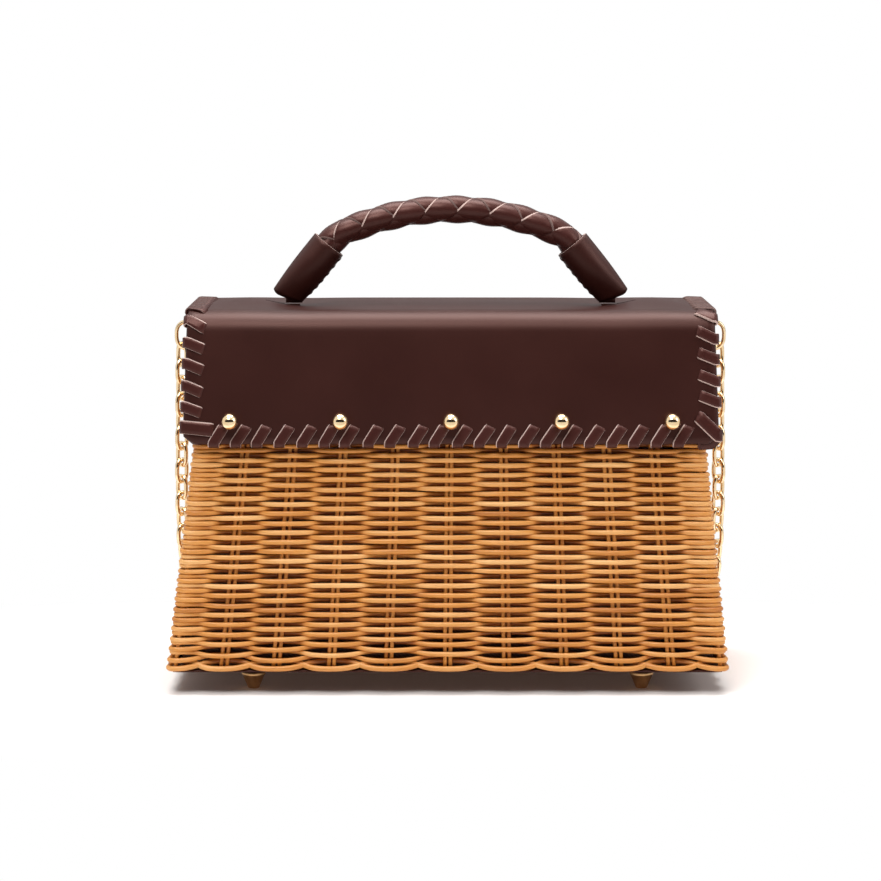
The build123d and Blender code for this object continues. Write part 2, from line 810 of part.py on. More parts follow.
os.makedirs("parts", exist_ok=True)
pieces = {
    "wicker_wall": wicker_wall,
    "rim_hoop": rim_hoop,
    "base_board": base_board,
    "lining": lining,
    "feet": feet,
    "back_panel": back_panel,
    "panel_rivets": panel_rivets,
    "basket_magnet": basket_magnet,
    "tab_left": tab_left,
    "tab_right": tab_right,
    "tab_rivets": tab_rivets,
    "ring_left": ring_left,
    "ring_right": ring_right,
    "chain_strap": chain_strap,
    "flap": flap,
    "front_lacing": front_lacing,
    "left_lacing": left_lacing,
    "right_lacing": right_lacing,
    "ball_studs": ball_studs,
    "stud_washers": stud_washers,
    "flap_magnet": flap_magnet,
    "anchor_left": anchor_left,
    "anchor_right": anchor_right,
    "handle_core": handle_core,
    "handle_braid": handle_braid,
    "sleeve_left": sleeve_left,
    "sleeve_right": sleeve_right,
}
for name, piece in pieces.items():
    piece.part.label = name
    export_step(piece.part, f"parts/{name}.step")
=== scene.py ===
"""Rattan handbag: reeds, leather, lacing, braid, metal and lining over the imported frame."""
import json
import math

import bmesh
import bpy
import numpy as np
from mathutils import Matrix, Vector


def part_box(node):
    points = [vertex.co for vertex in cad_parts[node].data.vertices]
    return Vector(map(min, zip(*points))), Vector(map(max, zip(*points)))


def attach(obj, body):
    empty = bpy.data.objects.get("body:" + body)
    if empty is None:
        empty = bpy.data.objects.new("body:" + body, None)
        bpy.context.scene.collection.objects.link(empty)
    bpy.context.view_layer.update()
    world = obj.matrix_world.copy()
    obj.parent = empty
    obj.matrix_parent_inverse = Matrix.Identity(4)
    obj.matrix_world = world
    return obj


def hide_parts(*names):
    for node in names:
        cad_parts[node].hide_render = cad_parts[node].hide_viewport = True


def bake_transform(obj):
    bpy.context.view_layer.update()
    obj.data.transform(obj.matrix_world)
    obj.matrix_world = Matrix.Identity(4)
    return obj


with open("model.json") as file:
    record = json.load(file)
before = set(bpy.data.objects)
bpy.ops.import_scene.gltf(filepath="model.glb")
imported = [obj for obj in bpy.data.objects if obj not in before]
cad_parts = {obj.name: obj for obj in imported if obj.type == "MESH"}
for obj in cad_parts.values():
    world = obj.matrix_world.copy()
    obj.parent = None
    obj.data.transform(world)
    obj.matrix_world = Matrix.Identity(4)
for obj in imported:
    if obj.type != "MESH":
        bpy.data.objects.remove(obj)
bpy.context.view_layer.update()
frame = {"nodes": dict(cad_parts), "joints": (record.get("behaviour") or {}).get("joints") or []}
rng = np.random.default_rng(7)
mm = 0.001
right_way, back_way, up_way = np.eye(3)
two_sides = ((-1, "left"), (1, "right"))


def node_box(name):
    """Lowest and highest corner of a node as arrays."""
    low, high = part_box(name)
    return np.array(low), np.array(high)


# Sizes read from the frame.
wall_low, wall_high = node_box("wicker_wall")
rim_low, rim_high = node_box("rim_hoop")
flap_low, flap_high = node_box("flap")
panel_low, panel_high = node_box("back_panel")
lining_low, lining_high = node_box("lining")
foot_low = node_box("feet")[0]
board_low, board_high = node_box("base_board")
joints = {joint["name"]: np.array(joint["pos_m"]) for joint in frame["joints"]}
hinge = joints["flap_hinge"]
pivot = joints["handle_fold"]

rim_lip = 0.7 * mm
base_half = wall_high[:2]
rim_half = rim_high[:2] - rim_lip
wall_height = wall_high[2] - wall_low[2]
wall_slope = (base_half - rim_half) / wall_height


def half_size(z):
    """Half width and half depth of the wall at a height."""
    drop = np.asarray(z, float) - wall_low[2]
    return [base_half[k] - wall_slope[k] * drop for k in (0, 1)]


def put(name, data):
    """A new object in the scene."""
    obj = bpy.data.objects.new(name, data)
    bpy.context.scene.collection.objects.link(obj)
    return obj


class Gather:
    """Vertices and faces of one piece, with a material number for each face and a tone for each vertex."""

    def __init__(self):
        self.verts, self.faces, self.marks, self.tones = [], [], [], []
        self.count = 0

    def add(self, verts, faces, marks=0, tone=0.5):
        """Adds a mesh, and gives the gathering back."""
        verts = np.asarray(verts, float).reshape(-1, 3)
        self.verts.append(verts)
        self.faces.extend([tuple(int(k) + self.count for k in face) for face in faces])
        self.marks.extend([marks] * len(faces) if np.isscalar(marks) else list(marks))
        self.tones.append(np.broadcast_to(np.asarray(tone, float), (len(verts),)))
        self.count += len(verts)
        return self

    def piece(self, name, materials, body, slot, nodes):
        """Makes the object, which rides on a body and stands for nodes."""
        mesh = bpy.data.meshes.new(name)
        mesh.from_pydata(np.concatenate(self.verts).tolist(), [], self.faces)
        work = bmesh.new()
        work.from_mesh(mesh)
        bmesh.ops.recalc_face_normals(work, faces=work.faces)
        work.to_mesh(mesh)
        work.free()
        mesh.polygons.foreach_set("material_index", np.array(self.marks, np.int32))
        mesh.polygons.foreach_set("use_smooth", np.full(len(mesh.polygons), True))
        tone = mesh.attributes.new("tone", "FLOAT", "POINT")
        tone.data.foreach_set("value", np.concatenate(self.tones).astype(np.float32))
        for material in materials:
            mesh.materials.append(material)
        mesh.update()
        obj = put(name, mesh)
        if body:
            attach(obj, body)
        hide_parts(*nodes)
        return obj


def unit(vectors):
    """Vectors at length one."""
    vectors = np.asarray(vectors, float)
    return vectors / np.maximum(np.linalg.norm(vectors, axis=-1, keepdims=True), 1e-12)


def square_to(vectors, ways):
    """Vectors at length one, without what lies along the ways."""
    return unit(vectors - ways * np.sum(vectors * ways, -1, keepdims=True))


def signed_power(value, power):
    """Power of a value's size, with the value's sign."""
    return np.sign(value) * np.abs(value) ** power


def lengths_along(points):
    """Length from the start of a line to each of its points."""
    return np.append(0, np.cumsum(np.linalg.norm(np.diff(points, axis=0), axis=1)))


def at_lengths(wanted, lengths, points):
    """Points of a line at lengths along it."""
    return np.column_stack([np.interp(wanted, lengths, column) for column in np.asarray(points).T])


def courses(path, closed=False):
    """Directions along a path."""
    if closed:
        return unit(np.roll(path, -1, 0) - np.roll(path, 1, 0))
    return unit(np.gradient(path, axis=0))


def grid_faces(rows, columns, loop_rows=False, loop_columns=True):
    """Quads of a grid of vertices, row by row."""
    i = np.arange(rows if loop_rows else rows - 1)[:, None]
    j = np.arange(columns if loop_columns else columns - 1)[None, :]
    a = i * columns + j
    b = i * columns + (j + 1) % columns
    c = (i + 1) % rows * columns + (j + 1) % columns
    d = (i + 1) % rows * columns + j
    return [tuple(face) for face in np.stack([a, b, c, d], -1).reshape(-1, 4)]


def tube_faces(rows, columns, closed=False):
    """Quads of a tube, with a face at each end where it isn't closed."""
    faces = grid_faces(rows, columns, closed)
    if not closed:
        faces.append(tuple(range(columns)))
        faces.append(tuple(range((rows - 1) * columns, rows * columns)))
    return faces


def sweep(path, across, out, profile, closed=False):
    """Vertices and faces of a profile carried along a path on two axes."""
    profile = np.asarray(profile, float)
    across, out = np.broadcast_to(across, path.shape), np.broadcast_to(out, path.shape)
    if profile.ndim == 2:
        profile = np.broadcast_to(profile, (len(path),) + profile.shape)
    verts = path[:, None] + across[:, None] * profile[..., :1] + out[:, None] * profile[..., 1:]
    return verts.reshape(-1, 3), tube_faces(*profile.shape[:2], closed)


def band(path, across, out, profile, pale, mark):
    """Vertices, faces and material numbers of a swept profile, with a mark on its cut-edge sides only."""
    verts, faces = sweep(path, across, out, profile)
    return verts, faces, [mark * (k % len(profile) in pale) for k in range(len(faces) - 2)] + [0, 0]


def oval(reach_a, reach_b, sides):
    """Points of an ellipse."""
    turn = 2 * np.pi * (np.arange(sides) + 0.5) / sides
    return np.stack([reach_a * np.cos(turn), reach_b * np.sin(turn)], -1)


def wire_loop(path, flat, radius, sides):
    """Vertices and faces of round wire along a closed flat path."""
    out = unit(np.cross(courses(path, closed=True), flat))
    return sweep(path, flat, out, oval(radius, radius, sides), closed=True)


def turned(profile, origin, axis, sides=40):
    """Vertices and faces of radii and heights turned round an axis."""
    axis = unit(axis)
    side = unit(np.cross(axis, right_way))
    turn = 2 * np.pi * np.arange(sides) / sides
    ring = np.cos(turn)[:, None] * side + np.sin(turn)[:, None] * np.cross(axis, side)
    profile = np.asarray(profile, float)
    verts = origin + profile[:, None, 1:] * axis + profile[:, None, :1] * ring
    return verts.reshape(-1, 3), tube_faces(len(profile), sides)


def smooth_step(value):
    """Rises softly from 0 to 1."""
    value = np.clip(value, 0, 1)
    return value * value * (3 - 2 * value)


# Materials.
def add_node(tree, kind, links=(), **settings):
    """Adds a node with its settings and its linked inputs."""
    made = tree.nodes.new(kind)
    for key, value in settings.items():
        socket = key.replace("_", " ")
        if socket in made.inputs:
            made.inputs[socket].default_value = value
        else:
            setattr(made, key, value)
    for socket, source in dict(links).items():
        tree.links.new(source, made.inputs[socket])
    return made


class Skin:
    """Principled material with constants on its sockets, and short ways to add nodes."""

    def __init__(self, name, **sockets):
        self.material = bpy.data.materials.new(name)
        self.material.use_nodes = True
        self.tree = self.material.node_tree
        self.shader = self.tree.nodes["Principled BSDF"]
        for socket, value in sockets.items():
            self.shader.inputs[socket.replace("_", " ")].default_value = value

    def node(self, kind, links=(), **settings):
        """Adds a node to the material."""
        return add_node(self.tree, kind, links, **settings)

    def place(self, scale=(1.0, 1.0, 1.0)):
        """Object coordinates stretched along each axis."""
        spot = self.node("ShaderNodeTexCoord").outputs["Object"]
        return self.node("ShaderNodeMapping", {"Vector": spot}, Scale=scale).outputs["Vector"]

    def noise(self, spot, scale=1.0, detail=3.0, roughness=0.55):
        """Noise value."""
        return self.node(
            "ShaderNodeTexNoise", {"Vector": spot}, Scale=scale, Detail=detail, Roughness=roughness
        ).outputs["Fac"]

    def mix(self, first, second, share):
        """Weighted sum of two values."""
        made = self.node("ShaderNodeMix", {2: first, 3: second}, data_type="FLOAT")
        made.inputs[0].default_value = share
        return made.outputs[0]

    def paint(self, value, stops):
        """Colours along a value."""
        made = self.node("ShaderNodeValToRGB", {"Fac": value})
        elements = made.color_ramp.elements
        while len(elements) < len(stops):
            elements.new(0.5)
        for element, (position, colour) in zip(elements, stops):
            element.position = position
            element.color = (*colour, 1.0)
        self.tree.links.new(made.outputs["Color"], self.shader.inputs["Base Color"])

    def gloss(self, value, low, high):
        """Roughness between two levels."""
        made = self.node("ShaderNodeMapRange", {"Value": value}, To_Min=low, To_Max=high)
        self.tree.links.new(made.outputs["Result"], self.shader.inputs["Roughness"])

    def relief(self, value, strength, distance):
        """Bump from a value."""
        made = self.node("ShaderNodeBump", {"Height": value}, Strength=strength, Distance=distance)
        self.tree.links.new(made.outputs["Normal"], self.shader.inputs["Normal"])


def rattan_skin(name, stretch, stops, roughness):
    """Varnished cane: streaks along the reed, patches, and the tone of each reed, with painted shade in that
    tone where reeds pass behind stakes.
    """
    skin = Skin(name, Coat_Weight=0.1, Coat_Roughness=0.28, Specular_IOR_Level=0.4)
    streak = skin.noise(skin.place(stretch), detail=4.0, roughness=0.6)
    patch = skin.noise(skin.place(), 55.0, 2.0)
    tone = skin.node("ShaderNodeAttribute", attribute_name="tone").outputs["Fac"]
    grain = skin.mix(streak, patch, 0.35)
    skin.paint(skin.mix(grain, tone, 0.62), stops)
    skin.gloss(streak, roughness - 0.08, roughness + 0.12)
    skin.relief(streak, 0.25, 0.15 * mm)
    return skin.material


leather_tint = (1.0, 0.6, 0.52, 1.0)


def leather_skin(name, dark, light, roughness, shine, grain=0.1):
    """Smooth calf: pores, slow colour changes and an uneven brown sheen."""
    skin = Skin(name, Specular_IOR_Level=shine, Specular_Tint=leather_tint)
    spot = skin.place()
    pores = skin.node("ShaderNodeTexVoronoi", {"Vector": spot}, Scale=1500.0).outputs["Distance"]
    slow = skin.noise(spot, 26.0, 5.0)
    fine = skin.noise(spot, 900.0)
    mixed = skin.mix(slow, fine, 0.3)
    skin.paint(mixed, [(0.3, dark), (0.7, light)])
    skin.gloss(mixed, roughness - 0.06, roughness + 0.08)
    skin.relief(skin.mix(pores, fine, 0.5), grain, 0.1 * mm)
    return skin.material


def metal_skin(name, dark, light, roughness):
    """Plated metal with faint patches and hair scratches."""
    skin = Skin(name, Metallic=1.0)
    hair = skin.noise(skin.place((300.0, 300.0, 5000.0)), detail=2.0)
    skin.paint(skin.noise(skin.place(), 220.0), [(0.35, dark), (0.65, light)])
    skin.gloss(hair, roughness * 0.7, roughness * 1.4)
    skin.relief(hair, 0.04, 0.05 * mm)
    return skin.material


def cloth_skin(name, dark, light, threads):
    """Plain woven cloth."""
    skin = Skin(name, Roughness=0.85, Sheen_Weight=0.15)
    spot = skin.place()
    weave = [
        skin.node(
            "ShaderNodeTexWave", {"Vector": spot}, bands_direction=way, Scale=threads, Distortion=0.6
        ).outputs["Fac"]
        for way in ("Z", "DIAGONAL")
    ]
    weave = skin.mix(*weave, 0.5)
    skin.paint(skin.mix(weave, skin.noise(spot, 90.0, 4.0), 0.5), [(0.3, dark), (0.7, light)])
    skin.relief(weave, 0.3, 0.2 * mm)
    return skin.material


# Cane colours along the tone; the darker stops show mostly where painted shade darkens the reeds behind the
# stakes.
cane_stops = [
    (0.16, (0.095, 0.017, 0.001)),
    (0.34, (0.34, 0.095, 0.008)),
    (0.5, (0.59, 0.242, 0.045)),
    (0.68, (0.77, 0.435, 0.165)),
]
reed_skin = rattan_skin("rattan_reed", (60.0, 60.0, 1500.0), cane_stops, 0.36)
stake_skin = rattan_skin("rattan_stake", (900.0, 900.0, 40.0), cane_stops, 0.42)
calf = leather_skin("calf_leather", (0.018, 0.0026, 0.0018), (0.026, 0.0048, 0.0034), 0.42, shine=0.44)
lace_leather = leather_skin("lace_leather", (0.032, 0.0078, 0.0064), (0.048, 0.0130, 0.0110), 0.34, shine=0.4)
cut_edge = leather_skin("raw_cut_edge", (0.36, 0.25, 0.22), (0.54, 0.41, 0.37), 0.7, shine=0.2, grain=0.3)
# The same cut edge drawn darker: painted shade for the edges on the top lacing and on the braid strands that
# wind one way.
painted_shade_edge = leather_skin("cut_edge_painted_shade", (0.11, 0.068, 0.060), (0.18, 0.12, 0.11), 0.7, shine=0.2, grain=0.3)
# Near-black leather for the painted shade of the slits.
slit_shade = leather_skin("slit_shade", (0.004, 0.001, 0.001), (0.007, 0.002, 0.002), 0.8, shine=0.05)
gold = metal_skin("pale_gold", (0.82, 0.60, 0.34), (0.92, 0.72, 0.46), 0.12)
brass = metal_skin("dull_brass", (0.56, 0.33, 0.145), (0.70, 0.45, 0.225), 0.34)
steel = metal_skin("magnet_plate", (0.45, 0.45, 0.46), (0.60, 0.60, 0.61), 0.3)
twill = cloth_skin("lining_cloth", (0.07, 0.040, 0.032), (0.13, 0.08, 0.064), 320.0)
cotton = cloth_skin("rope_cotton", (0.42, 0.36, 0.27), (0.62, 0.55, 0.43), 500.0)

# Woven wall: rows of round reed that pass before and behind doubled stakes by turns.
# The corners count as stakes, and every row is pulled outwards there.
front_stakes, side_stakes = 9, 5
side_spans = (front_stakes + 1, side_stakes + 1) * 2
stake_total = sum(side_spans)
corner_stakes = np.append(0, np.cumsum(side_spans))
corner_radius = 5 * mm
least_radius = 0.8 * mm
reed_radius = 1.2 * mm
weave_swing = 1.85 * mm
weave_inset = reed_radius + weave_swing
row_pitch = 2.22 * mm
first_row = 2.6
samples_a_stake = 10
reed_sides = 8
squareness = 1.3
foot_rows = 3.0
foot_sag = 1.1 * mm
reed_tone, reed_tone_spread, stake_tone_spread = 0.545, 0.07, 0.05
row_wander = 0.2 * mm
reed_spread, reed_pinch, swing_spread = 0.03, 0.1, 0.04
# Painted shade: how much darker a reed is drawn where it passes behind the stakes, and from what swing on.
recess_shade = 0.33
recess_start = 0.25
corner_pull, corner_reach = 0.8, 0.35
corner_samples = (-0.15, -0.05, 0.05, 0.15)
end_crowding = 0.08
wall_lean = -1.5 * mm


def wall_points(s, z, out):
    """Points on the wall at stake number s and height z, moved out by a length."""
    s, z, out = np.broadcast_arrays(*(np.asarray(value, float) for value in (s, z, out)))
    s = np.mod(s, stake_total)
    side = np.searchsorted(corner_stakes, s, "right") - 1
    halves = half_size(z)
    radius = np.maximum(corner_radius + out, least_radius)
    flat, away = (np.choose((side + k) % 2, halves) + out - radius for k in (0, 1))
    share = (s - corner_stakes[side]) / np.take(side_spans, side)
    share = share - end_crowding * np.sin(2 * math.pi * share) / (2 * math.pi)
    run = (2 * share - 1) * (flat + math.pi / 4 * radius)
    turn = np.sign(run) * np.clip((np.abs(run) - flat) / radius, 0, math.pi / 4)
    u = np.clip(run, -flat, flat) + radius * np.sin(turn)
    v = away + radius * np.cos(turn)
    cosine, sine = np.take([1, 0, -1, 0], side), np.take([0, 1, 0, -1], side)
    lean = wall_lean * (1 - (z - wall_low[2]) / wall_height)
    return np.stack([cosine * u + sine * v + lean, sine * u - cosine * v, z], -1)


ring_s = np.arange(stake_total * samples_a_stake) / samples_a_stake
corner_s = corner_stakes[1:, None] + corner_samples
ring_s = np.sort(np.append(ring_s, corner_s.ravel() % stake_total))
at_corner = np.exp(-((np.abs(ring_s[:, None] - corner_stakes).min(1) / corner_reach) ** 2))


def reed_ring(into, z, lift, radius, tone):
    """One closed reed round the wall."""
    path = wall_points(ring_s, z, np.minimum(lift, weave_inset - radius) - weave_inset)
    along = courses(path, closed=True)
    out = unit(np.cross(along, up_way))
    shape = oval(1.0, 1.0, reed_sides)[None] * np.asarray(radius)[:, None, None]
    into.add(*sweep(path, np.cross(out, along), out, shape, closed=True), tone=np.repeat(tone, reed_sides))


def swing(row):
    """From -1 where a row is behind a stake to 1 where it is before one."""
    return np.tanh(squareness * np.cos(np.pi * ring_s) * (-1) ** row) / math.tanh(squareness)


def by_stake(spread):
    """A random value for each stake, joined along the ring."""
    values = rng.normal(0, spread, stake_total)
    return np.interp(ring_s, np.arange(stake_total + 1), np.append(values, values[0]))


wicker = ("basket", "rattan", ["wicker_wall"])
weavers = [Gather(), Gather()]
for row in range(int(wall_height / row_pitch - first_row)):
    front = swing(row)
    held = front + at_corner * (np.maximum(front, corner_pull) - front)
    sag = foot_sag * math.exp(-row / foot_rows) * front
    z = wall_low[2] + (row + first_row) * row_pitch + by_stake(row_wander) - sag
    radius = reed_radius * (1 + rng.normal(0, reed_spread)) * (1 - reed_pinch * (1 - np.abs(front)))
    tone = reed_tone + rng.normal(0, reed_tone_spread) + by_stake(stake_tone_spread)
    # Painted shade: the reed is drawn darker where it runs behind the stakes, though the cane there is the
    # same.
    tone = np.clip(tone - recess_shade * smooth_step(recess_start - held), 0, 1)
    lift = weave_swing * held * (1 + by_stake(swing_spread))
    reed_ring(weavers[row % 2], z, lift, radius, tone)
weavers[0].piece("reed_rows_odd", [reed_skin], *wicker)
weavers[1].piece("reed_rows_even", [reed_skin], *wicker)

# Border along the foot: a pair of reeds that scallop under the stakes by turns.
border = Gather()
border_lift, border_sag = 2.5 * mm, 1.6 * mm
border_radius = 1.3 * mm
border_tone = 0.52
for strand in range(2):
    front = swing(strand)
    z = wall_low[2] + border_lift - border_sag * front
    # Painted shade where the border strand runs behind the stakes.
    tone = np.clip(border_tone + by_stake(stake_tone_spread) - recess_shade * smooth_step(-front), 0, 1)
    reed_ring(border, z, weave_swing * front, np.full(len(ring_s), border_radius), tone)
border.piece("foot_border", [reed_skin], *wicker)

# Stakes in pairs.
stakes = Gather()
stake_radius = 0.98 * mm
stake_spread, stake_wander = 1.25 * mm, 0.06 * mm
stake_tone = 0.42
into_rim = 2 * mm
stake_z = np.linspace(wall_low[2] + reed_radius, rim_low[2] + into_rim, 14)
for stake in range(stake_total):
    middle = wall_points(float(stake), stake_z, -weave_inset)
    along_wall = unit(wall_points(stake + 0.01, stake_z, -weave_inset) - middle)
    for side in (-1, 1):
        wander = side * stake_spread + np.cumsum(rng.normal(0, stake_wander, len(stake_z)))
        path = middle + along_wall * wander[:, None]
        out = unit(np.cross(along_wall, courses(path)))
        tone = np.clip(stake_tone + rng.normal(0, stake_tone_spread), 0, 1)
        stakes.add(*sweep(path, along_wall, out, oval(stake_radius, stake_radius, 8)), tone=tone)
stakes.piece("stakes", [stake_skin], *wicker)

# Rim hoop wound with flat cane.
wraps_a_stake = 6
rim_samples = 36
rim_sides = 14
rim_wall = 3.6 * mm
wrap_groove = 0.35 * mm
wrap_shade, wrap_spread = 0.45, 0.1
rim_half_height = (rim_high[2] - rim_low[2]) / 2
rim_s = np.arange(stake_total * rim_samples) / rim_samples
rim_path = wall_points(rim_s, rim_low[2], rim_lip - rim_wall) + up_way * rim_half_height
groove = wrap_groove * (1 - np.abs(np.sin(np.pi * rim_s * wraps_a_stake)) ** 0.5)
rim_out = unit(np.cross(courses(rim_path, closed=True), up_way))
rim_sizes = np.stack([rim_half_height - groove, rim_wall - groove], -1)
rim_shape = oval(1.0, 1.0, rim_sides)[None] * rim_sizes[:, None]
wrap_tone = wrap_shade + wrap_spread * rng.random(stake_total * wraps_a_stake)
rim_tone = np.repeat(wrap_tone, rim_samples // wraps_a_stake)
rim_mesh = sweep(rim_path, up_way, rim_out, rim_shape, closed=True)
rim = Gather().add(*rim_mesh, tone=np.repeat(rim_tone, rim_sides))
rim.piece("wound_rim", [reed_skin], "basket", "rattan", ["rim_hoop"])

# Lining: cloth that follows the wall inside and lies on the base.
cloth = 0.9 * mm
lining_samples, lining_rows = 6, 24
ruffle_depth, ruffle_rate = 0.4 * mm, 0.75
floor_shares = (0.02, 0.5, 0.97)
lining_s = np.arange(stake_total * lining_samples) / lining_samples
lining_inset = half_size(lining_low[2])[0] - lining_high[0]
ruffle = ruffle_depth * np.abs(np.sin(np.pi * lining_s * ruffle_rate))
sheet = [wall_points(lining_s, lining_low[2], -lining_inset) * [k, k, 1] for k in floor_shares]
for z in np.linspace(lining_low[2], lining_high[2], lining_rows):
    sheet.append(wall_points(lining_s, z, -lining_inset))
for z in np.linspace(lining_high[2], lining_low[2] + cloth, lining_rows):
    slack = 1 - (z - lining_low[2]) / (lining_high[2] - lining_low[2])
    sheet.append(wall_points(lining_s, z, -lining_inset - cloth - ruffle * slack))
sheet += [sheet[-1] * [k, k, 1] for k in floor_shares[::-1]]
lining = Gather().add(np.array(sheet), tube_faces(len(sheet), len(lining_s)))
lining.piece("cloth_lining", [twill], "basket", "lining", ["lining"])

# Base board: covered with leather, with a broad bevel under its edge.
board_bevel, board_lip, board_edge = 13 * mm, 1 * mm, 0.3 * mm
bevel_share = 0.9
board_inset = wall_high[0] - board_high[0]
board_levels = [
    (board_high[2], board_inset),
    (board_high[2] - board_lip, board_inset),
    (board_low[2] + board_edge, board_inset + bevel_share * board_bevel),
    (board_low[2], board_inset + board_bevel),
]
rings = []
for z, inset in board_levels:
    rings.append(wall_points(lining_s, wall_low[2], -inset))
    rings[-1][:, 2] = z
board = Gather().add(np.array(rings), tube_faces(len(rings), len(lining_s)))
board.piece("covered_board", [calf], "basket", "leather", ["base_board"])

# Feet: turned brass cones with a thin rim.
feet = Gather()
foot_height = board_low[2] - foot_low[2]
foot_top, foot_tip = 5.6 * mm, 2.7 * mm
foot_rim, foot_edge = 1.5 * mm, 0.35 * mm
foot_centre = (182 * mm / 2, 84 * mm / 2)
foot_profile = [
    (0.3 * foot_tip, 0.0),
    (foot_tip - foot_edge, 0.0),
    (foot_tip - 0.3 * foot_edge, 0.3 * foot_edge),
    (foot_tip, foot_edge),
    (foot_top - 1.2 * foot_edge, foot_height - foot_rim - foot_edge),
    (foot_top - 0.3 * foot_edge, foot_height - foot_rim - 0.5 * foot_edge),
    (foot_top, foot_height - foot_rim),
    (foot_top, foot_height - foot_edge),
    (foot_top - foot_edge, foot_height),
    (0.3 * foot_tip, foot_height),
]
for x in (wall_lean - foot_centre[0], wall_lean + foot_centre[0]):
    for y in (-foot_centre[1], foot_centre[1]):
        feet.add(*turned(foot_profile, (x, y, foot_low[2]), up_way))
feet.piece("turned_feet", [brass], "basket", "dull_brass", ["feet"])

# Leather: one sheet from the back panel over the hinge line to the front edge.
leather = 2 * mm
bend_radius = 9.4 * mm
hinge_radius = 4 * mm
flap_corner = 5 * mm
flap_taper = 2.2 * mm
flap_half, panel_half = flap_high[0], panel_high[0]
edge_point = flap_low[1:] + leather / 2
hinge_point = hinge[1:]
flap_rise = hinge_point[1] - edge_point[1]
crease_point = edge_point + [wall_slope[1] * flap_rise, flap_rise]
panel_foot = hinge_point + (hinge_point[1] - panel_low[2]) * np.array([wall_slope[1], -1.0])


def straight(first, last, step):
    """Points after the first up to the last."""
    count = max(1, int(np.linalg.norm(last - first) / step))
    return [first + (last - first) * (k + 1) / count for k in range(count)]


def filleted(points, radii, step, turn_step):
    """Points along a bent line with round corners."""
    made = [points[0]]
    for before, corner, after, radius in zip(points, points[1:], points[2:], radii):
        back, on = unit(before - corner), unit(after - corner)
        half = math.acos(float(back @ on)) / 2
        centre = corner + unit(back + on) * radius / math.sin(half)
        first = corner + back * radius / math.tan(half)
        made += straight(made[-1], first, step)
        reach = first - centre
        whole = math.copysign(math.pi - 2 * half, reach[0] * on[1] - reach[1] * on[0])
        for turn in np.linspace(0, whole, max(3, int(abs(whole) / turn_step)))[1:]:
            cosine, sine = math.cos(turn), math.sin(turn)
            made.append(centre + [reach[0] * cosine - reach[1] * sine, reach[0] * sine + reach[1] * cosine])
    return np.array(made + straight(made[-1], points[-1], step))


cover_step, cover_turn = 3 * mm, math.radians(7)
cover_corners = [panel_foot, hinge_point, crease_point, edge_point]
cover_line = filleted(cover_corners, [hinge_radius, bend_radius], cover_step, cover_turn)
cover_course = courses(cover_line)
cover_out = np.stack([-cover_course[:, 1], cover_course[:, 0]], -1)
cover_out *= np.sign(cover_out[len(cover_out) // 2, 1])
cover_run = lengths_along(cover_line)
panel_length = np.linalg.norm(hinge_point - panel_foot) - hinge_radius / 2
drop_length = np.linalg.norm(crease_point - edge_point)
to_edge = cover_run[-1] - cover_run
flap_half_at = flap_half - flap_taper * np.clip(to_edge / drop_length, 0, 1)
widen_before, widen_length = 5 * mm, 12 * mm
widening = smooth_step((cover_run - panel_length + widen_before) / widen_length)
cover_half = panel_half + (flap_half_at - panel_half) * widening
for from_end in (to_edge, cover_run):
    inside = np.clip(flap_corner - from_end, 0, flap_corner)
    cover_half = cover_half - (flap_corner - np.sqrt(flap_corner**2 - inside**2))
hinge_to_middle = 46 * mm
middle_run = panel_length + hinge_to_middle
cover_columns = np.linspace(-1, 1, 81)
# Height, distance from the middle, width and depth of the dome outside each foot and the dent at it.
swells = ((2.6 * mm, 96 * mm, 13 * mm, 26 * mm), (-1.2 * mm, 70 * mm, 13 * mm, 30 * mm))
crown_height, crown_length = 0.8 * mm, 36 * mm
wave_height, wave_pitch, wave_reach, wave_start = 0.22 * mm, 63 * mm, 26 * mm, 0.6
belly_height = 1.0 * mm


def cover_face(side):
    """One face of the leather, side 1 outside and -1 inside.

    It is domed outside the handle's feet and dented at them, crowned along the middle,
    a little wavy at the front edge and slightly bellied in front.
    """
    x = cover_columns[None] * cover_half[:, None]
    depth = (cover_run - middle_run)[:, None]
    lift = side * leather / 2
    for height, centre, width, length in swells:
        lift = lift + height * np.exp(-(((np.abs(x) - centre) / width) ** 2) - (depth / length) ** 2)
    crown = np.clip(1 - (x / flap_half) ** 2, 0, 1) * np.exp(-((depth / crown_length) ** 2))
    wave = np.sin(2 * np.pi * x / wave_pitch + wave_start) * np.exp(-to_edge / wave_reach)[:, None]
    belly = np.sin(np.pi * np.clip(to_edge / drop_length, 0, 1))[:, None]
    belly = belly * np.clip(1 - (x / flap_half) ** 8, 0, 1)
    lift = lift + crown_height * crown + wave_height * wave + belly_height * belly
    spot = cover_line[:, None] + cover_out[:, None] * lift[..., None]
    return np.concatenate([x[..., None], spot], -1)


outside, within = cover_face(1), cover_face(-1)
lines, across = outside.shape[:2]
loop = [(0, j) for j in range(across)] + [(i, across - 1) for i in range(1, lines)]
loop += [(lines - 1, j) for j in range(across - 2, -1, -1)] + [(i, 0) for i in range(lines - 2, 0, -1)]
rim_round = 0.3 * leather
brim = []
for i, j in loop:
    spot = (outside[i, j] + within[i, j]) / 2
    if j in (0, across - 1):
        spot[0] += rim_round * np.sign(cover_columns[j])
    if i in (0, lines - 1):
        spot[1:] += cover_course[i] * rim_round * (1 if i else -1)
    brim.append(spot)
size = lines * across
numbers = np.array([i * across + j for i, j in loop])
faces = grid_faces(lines, across, loop_columns=False)
faces += [tuple(k + size for k in face) for face in faces]
strip = np.concatenate([numbers, 2 * size + np.arange(len(loop)), size + numbers])
faces += [tuple(strip[list(face)]) for face in grid_faces(3, len(loop))]
cover = Gather().add(np.concatenate([outside.reshape(-1, 3), within.reshape(-1, 3), brim]), faces)
